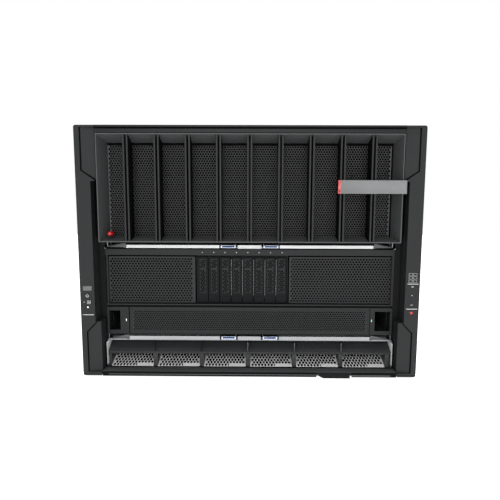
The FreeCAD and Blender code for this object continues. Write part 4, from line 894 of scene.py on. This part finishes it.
for name, left, right, first, finish, slot in bladePlan["layers"]:
    middles = [(i - 3) * intakePlan["pitch"] + intakePlan["shift"] for i in range(first, 6)]
    done([intakeBlade(x + left, x + right) for x in middles], name, finish, "chassis")

# end walls of the power bay, seen above and below the nose of the flap, in near-white zinc as painted light
endWall = {"x": 210.25, "half": 0.2, "outline": [
    (-17.0, 43.0), (20.0, 42.2), (-12.4, 27.4), (-9.9, 23.4), (-6.9, 9.0), (-17.0, 9.0)]}
reaches = [(side * endWall["x"] - endWall["half"], side * endWall["x"] + endWall["half"]) for side in bothSides]
walls = [outlinePlate(endWall["outline"], reach, "X") for reach in reaches]
done([bevelled(wall, 0.1) for wall in walls], "bay_end_walls", litZinc, "chassis")

# badge: a bare plate with softened edges, and a red glazed strip at its left end
badgePlan = {"y": (-38.0, -34.0), "z": (262.5, 280.9), "plates": [
    ("badge_accent", 121.4, 124.9, redGloss, "red_plastic"), ("badge_face", 125.1, 215.4, blastedBadge, "badge_grey")]}
for name, x0, x1, finish, slot in badgePlan["plates"]:
    (y0, y1), (z0, z1) = badgePlan["y"], badgePlan["z"]
    plate = softBlock((x0, y0, z0), (x1, y1, z1), 0.35, sink=(0.7, 0.12))
    done(plate, name, finish, "gpu_sled", ["badge_plate"])
print("knob, levers and badge made")

# back wall: wire guards and screws over the fans
guardPlan = {"first": (-159.0, 225.55), "rows": [(4, (106.0, 0, 0)), (2, (0, 0, 81.0))], "y": 848.95, "wire": 0.8,
             "rings": (10.0, 18.5, 27.0, 35.5), "spoke": ((8.0, 848.2, -0.75), (43.0, 849.7, 0.75)), "lug": 33.0,
             "lugRing": 3.6, "screw": [(847.9, 3.0), (849.5, 3.0), (850.2, 2.4), (850.3, 1.4), (849.6, 1.2)]}
fanX, fanZ = guardPlan["first"]
wires = [wireRing(radius, (fanX, fanZ), guardPlan["y"], guardPlan["wire"], 36) for radius in guardPlan["rings"]]
screws = []
for turn in range(4):
    angle = math.radians(45 + 90 * turn)
    spoke = softBlock(*guardPlan["spoke"], 0.35)
    spoke.rotation_euler.y = angle
    spoke.location = Vector((fanX, 0, fanZ)) * mm
    wires.append(settle(spoke))
    corner = (fanX + math.copysign(guardPlan["lug"], math.cos(angle)),
              fanZ - math.copysign(guardPlan["lug"], math.sin(angle)))
    wires.append(wireRing(guardPlan["lugRing"], corner, guardPlan["y"], guardPlan["wire"], 16))
    screws.append(turnedPiece(guardPlan["screw"], corner, 16))
for name, parts, finish in (("fan_guards", wires, satinNickel), ("fan_guard_screws", screws, platedScrew)):
    done(arrayed(joined(parts), *guardPlan["rows"]), name, finish, "chassis")

# supplies: pull handles in a soft sleeve, inlets with three pins, latches, fan wires and a lamp each
supplyRow = (6, (70.0, 0, 0))
supplyPlan = {
    "supply_sleeves": {"finish": carrierNylon, "edge": 0.8, "segments": 3,
                       "boxes": [((-202.9, 851.0, 18.35), (-175.1, 867.9, 24.15))]},
    "supply_inlets": {"finish": connectorNylon, "sink": (2.4, 6.5, toRear), "edge": 0.4,
                      "boxes": [((-170.8, 839.2, 11.45), (-145.2, 847.6, 31.05))]},
    "supply_pins": {"finish": platedScrew, "slot": "screw_steel", "edge": 0.3, "boxes": [
        ((x - 1.0, 840.8, z - 2.4), (x + 1.0, 845.8, z + 2.4))
        for x, z in ((-164.5, 19.75), (-158.0, 23.25), (-151.5, 19.75))]},
    "supply_latches": {"finish": bluePolycarbonate, "slot": "blue_plastic", "sink": (0.6, 0.4, toRear), "edge": 0.35,
                       "boxes": [((-175.2, 847.5, 26.0), (-172.0, 853.0, 37.5))]},
}
makeBlocks(supplyPlan, body="chassis", slot="black_plastic", rows=[supplyRow])
supplyFan = {"centre": (-189.0, 21.25), "y": 845.4, "wire": 0.5, "rings": (7.5, 10.5, 13.5)}
wires = [wireRing(radius, supplyFan["centre"], supplyFan["y"], supplyFan["wire"], 24) for radius in supplyFan["rings"]]
done(arrayed(joined(wires), supplyRow), "supply_fan_wires", satinNickel, "chassis")
supplyLamp = {"centre": (-173.6, 8.0), "profile": [(847.5, 1.2), (848.3, 1.2), (848.5, 0.7)]}
lamp = turnedPiece(supplyLamp["profile"], supplyLamp["centre"], 12)
done(arrayed(lamp, supplyRow), "supply_lamps", lampGreen, "chassis")

# vented covers in the ten card slots, with their screws, and a row of sockets beside them
slotRow = (10, (20.3, 0, 0))
slotCover = {"low": (-38.15, 66.6), "high": (-24.55, 158.0), "margin": 1.2, "y": 847.45, "pitch": 3.4, "row": 3.0,
             "hole": 2.3, "sheet": 0.5, "sides": 6}
done(arrayed(perforatedSheet(slotCover), slotRow), "slot_covers", galvanised, "chassis")
slotScrew = {"centre": (-31.35, 165.5),
             "profile": [(847.9, 3.2), (849.4, 3.2), (850.0, 2.6), (850.1, 1.5), (849.5, 1.2)]}
screw = turnedPiece(slotScrew["profile"], slotScrew["centre"], 16)
done(arrayed(screw, slotRow), "slot_screws", platedScrew, "chassis")
socketSpots = [(-196.0, 70.0, 16.0, 14.0), (-176.0, 70.0, 16.0, 14.0), (-152.0, 71.0, 31.0, 12.5),
               (-116.0, 68.0, 7.5, 15.0), (-104.0, 68.0, 7.5, 15.0)]  # corner, width and height of each
socketPlan = {
    # black sheets behind the slot covers are painted shade, so that their holes read black
    "slot_shade_backings": {"finish": shadeBlack, "edge": 0.03, "segments": 1, "rows": [slotRow],
                     "boxes": [((-37.95, 847.27, 66.8), (-24.75, 847.42, 157.8))]},
    "socket_shells": {"finish": satinNickel, "slot": "screw_steel", "sink": (1.0, 2.4, toRear), "edge": 0.25,
                      "boxes": [((x, 847.8, z), (x + wide, 851.0, z + tall)) for x, z, wide, tall in socketSpots]},
    "socket_mouths": {"edge": 0.2, "boxes": [
        ((x + 1.2, 848.3, z + 1.2), (x + wide - 1.2, 848.8, z + tall - 1.2)) for x, z, wide, tall in socketSpots]},
}
makeBlocks(socketPlan, finish=connectorNylon, body="chassis", slot="black_plastic")
print("back wall made")

# top cover in two pans: a rim, a shallow bead inside it, lips down the sides, and a flush latch in the front one
coverPlan = {"half": 223.0, "pans": [(0.2, 306.0), (306.6, 848.0)], "z": (353.6, 354.8),
             "steps": [(16.0, 0.45), (5.0, -0.4), (24.0, 0.4)],
             "lip": {"x": 220.7, "half": 0.6, "y": (31.0, 845.0), "z": (340.8, 353.7)}}


def coverPan(y0, y1):
    half, (z0, z1), lip = coverPlan["half"], coverPlan["z"], coverPlan["lip"]
    pan = steppedFace(block((-half, y0, z0), (half, y1, z1)), toTop, coverPlan["steps"])
    front, rear = max(y0, lip["y"][0]), min(y1, lip["y"][1])
    lips = [softBlock((side * lip["x"] - lip["half"], front, lip["z"][0]),
                      (side * lip["x"] + lip["half"], rear, lip["z"][1]), 0.2) for side in bothSides]
    return joined([bevelled(pan, 0.35)] + lips)


done([coverPan(*reach) for reach in coverPlan["pans"]], "cover_pans", galvanised, "chassis",
     ["top_cover"])
latchPlan = {
    "cover_latch": {"finish": carrierNylon, "slot": "black_plastic", "sink": (5.0, 0.5, toTop), "edge": 0.3,
                    "boxes": [((-38.0, 244.0, 353.9), (38.0, 280.0, 354.75))]},
    "cover_touch": {"finish": bluePolycarbonate, "slot": "blue_plastic", "sink": (1.0, 0.2, toTop), "edge": 0.2,
                    "boxes": [((-14.0, 250.5, 354.0), (14.0, 260.5, 354.6))]},
}
makeBlocks(latchPlan, body="chassis")

# stiffening beads and rivets on the sides of the tub
sidePlan = {"x": (222.6, 224.1), "y": (60.0, 800.0), "beads": (150.0, 215.0, 280.0), "half": 5.0,
            "rivet": [(222.8, 2.4), (223.3, 2.4), (223.88, 1.68), (224.1, 0.6)],
            "rivetRows": [(14.0, 30.0, (7, (0, 0, 48.0))), (834.0, 30.0, (7, (0, 0, 48.0))),
                          (70.0, 40.0, (11, (0, 72.0, 0))), (70.0, 184.0, (11, (0, 72.0, 0)))]}
beads, rivets = [], []
for side in bothSides:
    x0, x1 = sorted(side * x for x in sidePlan["x"])
    y0, y1 = sidePlan["y"]
    for z in sidePlan["beads"]:
        beads.append(softBlock((x0, y0, z - sidePlan["half"]), (x1, y1, z + sidePlan["half"]), 1.0, 3))
    profile = [(side * x, radius) for x, radius in sidePlan["rivet"]]
    for y, z, row in sidePlan["rivetRows"]:
        rivets.append(arrayed(swungPiece(profile, (0, y, z), "X"), row))
done(beads, "side_beads", galvanised, "chassis")
done(rivets, "side_rivets", platedScrew, "chassis")
print("cover and sides made")

# upper faces of the boards, and what stands on them; cans and screws are turned
gpuTop, mainTop, networkTop, cageTop = 197.1, 105.6, 62.5, 170.1
canRadius = 3.2


def canProfile(base, top):
    return [(base, canRadius), (top, canRadius), (top + 0.6, canRadius - 0.5)]


# a row of fins on a base plate
def finnedCooler(fin, row, base):
    return joined([arrayed(softBlock(*fin, 0.3), row), softBlock(*base, 0.5)])


# accelerator board: rails and spring screws round the heatsinks, coils, cans and connectors
modulePlan = {"columns": (-147.0, -49.0, 49.0, 147.0), "rows": (72.5, 297.5), "rail": 45.4, "half": 2.2,
              "length": 180.0, "screwAt": 20.0, "screws": (3, (0, 70.0, 0)),
              "screw": [(gpuTop + 8.8, 1.9), (gpuTop + 13.0, 1.9), (gpuTop + 13.6, 1.3)]}
rails = [(x + side * modulePlan["rail"], y) for x in modulePlan["columns"] for y in modulePlan["rows"]
         for side in bothSides]
gpuParts = {
    "module_rails": {"edge": 0.8, "boxes": [
        ((x - modulePlan["half"], y, gpuTop), (x + modulePlan["half"], y + modulePlan["length"], gpuTop + 9.0))
        for x, y in rails]},
    "board_coils": {"finish": canSleeve, "slot": "badge_grey", "edge": 0.9,
                    "rows": [(31, (12.1, 0, 0)), (2, (0, 13.0, 0))],
                    "boxes": [((-186.0, 257.5, gpuTop), (-177.5, 266.0, 204.5))]},
}
makeBlocks(gpuParts, finish=connectorNylon, body="gpu_sled", slot="black_plastic")
screws = [arrayed(swungPiece(modulePlan["screw"], (x, y + modulePlan["screwAt"], 0), "Z", 10), modulePlan["screws"])
          for x, y in rails]
done(screws, "module_screws", platedScrew, "gpu_sled")
can = swungPiece(canProfile(gpuTop, 206.0), (-184.0, 289.0, 0), "Z")
done(arrayed(can, (41, (9.2, 0, 0))), "board_cans", canSleeve, "gpu_sled")
plugPlan = [{"xs": (-150.0, -50.0, 50.0, 150.0), "half": 30.0, "y": (46.0, 62.0), "top": 208.0, "edge": 0.5,
             "sink": (2.0, 5.0, toTop)},
            {"xs": (-140.0, 0.0, 140.0), "half": 36.0, "y": (486.0, 509.0), "top": 214.0, "edge": 0.6,
             "sink": (2.5, 4.0, toRear)}]
plugs = []
for plan in plugPlan:
    half, (y0, y1) = plan["half"], plan["y"]
    plugs += [softBlock((x - half, y0, gpuTop), (x + half, y1, plan["top"]), plan["edge"], sink=plan["sink"])
              for x in plan["xs"]]
done(plugs, "board_plugs", connectorNylon, "gpu_sled")
print("accelerator board dressed")

# main board: memory sockets and chips, coils beside the processors, card sockets, plugs and chips along its front
# drive cage: a pressed rib over each bay, and the board with its plugs on the rear
processors = (-95.0, 95.0)
memory = [(x + side * (50.0 + 9.4 * k), flank) for x in processors for side in bothSides for k in range(4)
          for flank in bothSides]
nodeBlocks = {
    "memory_sockets": {"edge": 0.4, "boxes": [
        ((x + flank * 2.075 - 1.125, 239.5, mainTop), (x + flank * 2.075 + 1.125, 380.5, mainTop + 6.0))
        for x, flank in memory]},
    "memory_chips": {"finish": chipEpoxy, "edge": 0.15, "segments": 1, "rows": [(8, (0, 15.8, 0))], "boxes": [
        ((x + flank * 1.25 - 0.5, 248.5, 116.0), (x + flank * 1.25 + 0.5, 260.5, 128.0)) for x, flank in memory]},
    "mainboard_coils": {"finish": canSleeve, "slot": "badge_grey", "edge": 0.9, "rows": [(7, (11.5, 0, 0))], "boxes": [
        ((x, 388.0, mainTop), (x + 8.5, 396.5, 113.0)) for x in (-130.0, 60.0)]},
    "card_sockets": {"sink": (1.4, 4.0, toTop), "edge": 0.4, "boxes": [
        ((x - 3.8, 410.0, mainTop), (x + 3.8, 510.0, 117.0)) for x in (-170.0, -140.0, -110.0, 110.0, 140.0, 170.0)]},
    "mainboard_plugs": {"sink": (1.2, 4.0, toTop), "edge": 0.4, "rows": [(5, (38.5, 0, 0))],
                        "boxes": [((-90.0, 154.0, mainTop), (-64.0, 163.0, 114.0))]},
    "mainboard_chips": {"finish": chipEpoxy, "edge": 0.4, "rows": [(6, (60.8, 0, 0))],
                        "boxes": [((-162.0, 182.0, mainTop), (-142.0, 202.0, 107.4))]},
    "cage_ribs": {"finish": powderCoat, "slot": "black_steel", "edge": 0.8, "segments": 3, "rows": [driveRow],
                  "boxes": [((-71.4, 16.0, cageTop), (-66.6, 110.0, cageTop + 1.3))]},
    "drive_backplane": {"finish": solderMask, "slot": "green_board", "edge": 0.2,
                        "boxes": [((-76.4, 126.2, 100.4), (54.6, 127.4, 168.4))]},
    "backplane_plugs": {"sink": (1.2, 4.0, toRear), "edge": 0.4,
                        "rows": [(4, (31.0, 0, 0)), (2, (0, 0, 30.0))],
                        "boxes": [((-70.0, 127.2, 112.0), (-44.0, 136.2, 124.0))]},
}
makeBlocks(nodeBlocks, finish=connectorNylon, body="compute_node", slot="black_plastic")
can = swungPiece(canProfile(mainTop, 114.0), (-190.0, 232.0, 0), "Z")
done(arrayed(can, (39, (10.0, 0, 0))), "mainboard_cans", canSleeve, "compute_node")
coolerPlan = {"fin": ((-30.0, 430.0, 109.0), (-28.6, 490.0, 132.0)), "row": (13, (4.9, 0, 0)),
              "base": ((-30.5, 429.5, mainTop), (30.7, 490.5, 109.4))}
done(finnedCooler(**coolerPlan), "chip_cooler", extrudedAluminium, "compute_node")
coolerScrew = {"profile": [(mainTop, 2.6), (116.0, 2.6), (117.0, 1.6)], "across": 36.0, "y": (246.0, 374.0)}
screws = [swungPiece(coolerScrew["profile"], (x + side * coolerScrew["across"], y, 0), "Z")
          for x in processors for side in bothSides for y in coolerScrew["y"]]
done(screws, "cooler_screws", platedScrew, "compute_node")

# rivets at the separators of the cage
cageRivet = {"profile": [(cageTop, 2.0), (cageTop + 0.7, 2.0), (cageTop + 1.2, 1.2)], "first": (-76.1, 9.0, 0),
             "rows": [(9, (16.3, 0, 0)), (2, (0, 108.0, 0))]}
rivet = swungPiece(cageRivet["profile"], cageRivet["first"], "Z")
done(arrayed(rivet, *cageRivet["rows"]), "cage_rivets", platedScrew, "compute_node")

# network board: finned coolers over its chips, memory chips between them, coils and plugs
# midplane: shells over its connectors, open to the sleds
networkParts = {
    "network_chips": {"finish": chipEpoxy, "edge": 0.3, "rows": [(5, (22.5, 0, 0)), (4, (0, 40.0, 0))],
                      "boxes": [((-52.0, 150.0, networkTop), (-38.0, 164.0, 64.2))]},
    "network_coils": {"finish": canSleeve, "slot": "badge_grey", "edge": 0.9,
                      "rows": [(16, (24.2, 0, 0)), (2, (12.1, 14.0, 0))],
                      "boxes": [((-186.0, 82.0, networkTop), (-177.5, 90.5, 69.0))]},
    "network_plugs": {"sink": (2.0, 4.0, toRear), "edge": 0.5, "rows": [(3, (120.0, 0, 0))],
                      "boxes": [((-150.0, 384.0, networkTop), (-90.0, 399.0, 76.0))]},
    "midplane_shells": {"body": "chassis", "sink": (3.0, 0.15), "edge": 0.5, "boxes": [
        ((x - 35.3, 563.8, z - 0.3), (x + 35.3, 575.8, z + 40.3))
        for x in (-140.0, 0.0, 140.0) for z in (119.5, 194.7)]},
}
makeBlocks(networkParts, finish=connectorNylon, body="network_sled", slot="black_plastic")
sinkPlan = {"fin": ((-139.9, 179.8, 67.0), (-138.7, 270.2, 80.8)), "row": (15, (4.93, 0, 0)),
            "base": ((-140.0, 179.6, networkTop), (-69.4, 270.4, 67.6))}
sink = finnedCooler(**sinkPlan)
done([sink, copied(sink, (209.4, 0, 0))], "network_coolers", extrudedAluminium, "network_sled")

# metal flanks of the drives with a sunk field and three screws, seen when a carrier is drawn out
flankPlan = {"inner": 6.98, "outer": 7.3, "y": (5.0, 102.5), "z": (102.0, 166.5), "sink": (5.0, 0.22),
             "screw": [(7.2, 1.8), (7.45, 1.8), (7.55, 1.2)], "screws": [(18.0, 106.0), (58.0, 106.0), (94.0, 106.0)]}
flanks, screws = [], []
for side in bothSides:
    x0, x1 = sorted(driveFront["first"] + side * flankPlan[face] for face in ("inner", "outer"))
    (y0, y1), (z0, z1) = flankPlan["y"], flankPlan["z"]
    flanks.append(softBlock((x0, y0, z0), (x1, y1, z1), 0.05, 1, (*flankPlan["sink"], (side, 0, 0))))
    head = [(driveFront["first"] + side * x, radius) for x, radius in flankPlan["screw"]]
    screws += [swungPiece(head, (0, y, z), "X") for y, z in flankPlan["screws"]]
perDrive(joined(flanks), "drive_flanks", extrudedAluminium)
perDrive(joined(screws), "drive_screws", platedScrew)
print("boards dressed")

# what each carried-over node is finished in, with its broken edge in millimetres
dressing = [
    (galvanised, 0, "chassis_tub top_cover tray_shelves rear_frame rack_brackets gpu_tray compute_tray network_tray"),
    (galvanised, 0, "power_supplies"),
    (powderCoat, 0, "drive_cage compute_front network_panel"),
    (innerBlack, 0.35, "front_frame"),
    (charcoalAbs, 0, "ear_left ear_right"),
    (charcoalAbs, 0.3, "power_button id_button"),
    (bezelAbs, 0.3, "bezel_frame"),
    (gridPaint, 0.3, "bezel_fins"),
    (meshPaint, 0.3, "intake_flaps"),
    (carrierNylon, 0.3, "label_card"),
    (carrierNylon, 0, " ".join(f"drive_carrier_{i + 1}" for i in range(8))),
    (chipEpoxy, 0, "fan_frames " + " ".join(f"fan_rotor_{i + 1}" for i in range(8))),
    (satinNickel, 0.25, "gpu_lever_left gpu_lever_right"),
    (dullNickel, 0.25, "compute_lever_left compute_lever_right"),
    (paleBlue, 0.2, "gpu_latch_left gpu_latch_right compute_latch_left compute_latch_right"),
    (solderMask, 0, "gpu_baseboard mainboard memory_modules network_board midplane_board"),
    (extrudedAluminium, 0, "gpu_modules cpu_heatsinks"),
    (platedScrew, 0.2, "fasteners"),
]
for finish, edge, names in dressing:
    for name in names.split():
        dressNode(name, finish, edge)
print("nodes dressed")

# stage: pale floor under the lowest point, soft white light from the front and above
stagePlan = {"floor": -4.3, "radius": 2.2}
clearSelection()
bpy.ops.mesh.primitive_circle_add(vertices=64, radius=stagePlan["radius"], fill_type="NGON",
                                  location=(0, 0, stagePlan["floor"] * mm))
floor = bpy.context.object
floor.name = "floor"
# matt white floor paint, lit from inside a little so that it runs into the backdrop
floorPaint = grainedFinish(
    "matt_white_floor", dark="#efefed", light="#f6f6f4", cloud=400, grain=8, rough=(0.8, 0.9), bump=0.02,
    ior=1.45, glow=linear("#ffffff"), glowPower=0.9)
floor.data.materials.append(floorPaint)

world = bpy.data.worlds.new("studio")
world.use_nodes = True
tree = world.node_tree
tree.nodes.clear()
eyeRay = putNode(tree, "ShaderNodeLightPath").outputs["Is Camera Ray"]
backdrop = putNode(tree, "ShaderNodeBackground", {"Color": linear("#ffffff"), "Strength": 1.0})
fill = putNode(tree, "ShaderNodeBackground", {"Color": linear("#ffffff"), "Strength": 0.26})
either = putNode(tree, "ShaderNodeMixShader", None, {0: eyeRay, 1: fill.outputs[0], 2: backdrop.outputs[0]})
putNode(tree, "ShaderNodeOutputWorld", None, {"Surface": either.outputs[0]})
bpy.context.scene.world = world
bpy.context.scene.view_settings.view_transform = "Standard"

softboxes = [
    {"name": "front_box", "place": (0.2, -2.2, 0.3), "aim": (0, 0, 0.18), "size": (2.4, 0.5), "power": 18},
    {"name": "high_box", "place": (-0.3, -2.2, 1.25), "aim": (0, 0, 0.02), "size": (1.8, 0.6), "power": 22},
    {"name": "top_box", "place": (0.2, 0.3, 2.6), "aim": (0, 0.3, 0.2), "size": (4.0, 4.0), "power": 90},
    {"name": "rear_box", "place": (0.6, 3.4, 1.2), "aim": (0, 0.6, 0.2), "size": (2.4, 1.6), "power": 26},
]
for plan in softboxes:
    bpy.ops.object.light_add(type="AREA", location=plan["place"])
    light = bpy.context.object
    light.name = plan["name"]
    light.data.shape = "RECTANGLE"
    light.data.size, light.data.size_y = plan["size"]
    light.data.energy = plan["power"]
    aim = Vector(plan["aim"]) - Vector(plan["place"])
    light.rotation_euler = aim.to_track_quat("-Z", "Y").to_euler()

viewPlan = {"place": (6.76, -730.1, 276.79), "down": 7.627, "left": 0.49, "tilt": 0.177, "lens": 36.06, "sensor": 36.0}
turn = (Matrix.Rotation(math.radians(viewPlan["left"]), 4, "Z")
        @ Matrix.Rotation(math.radians(90 - viewPlan["down"]), 4, "X")
        @ Matrix.Rotation(math.radians(viewPlan["tilt"]), 4, "Z"))
bpy.ops.object.camera_add(location=Vector(viewPlan["place"]) * mm, rotation=turn.to_euler())
camera = bpy.context.object
camera.name = "photo_view"
camera.data.lens = viewPlan["lens"]
camera.data.sensor_width = viewPlan["sensor"]
bpy.context.scene.camera = camera
print("stage set")
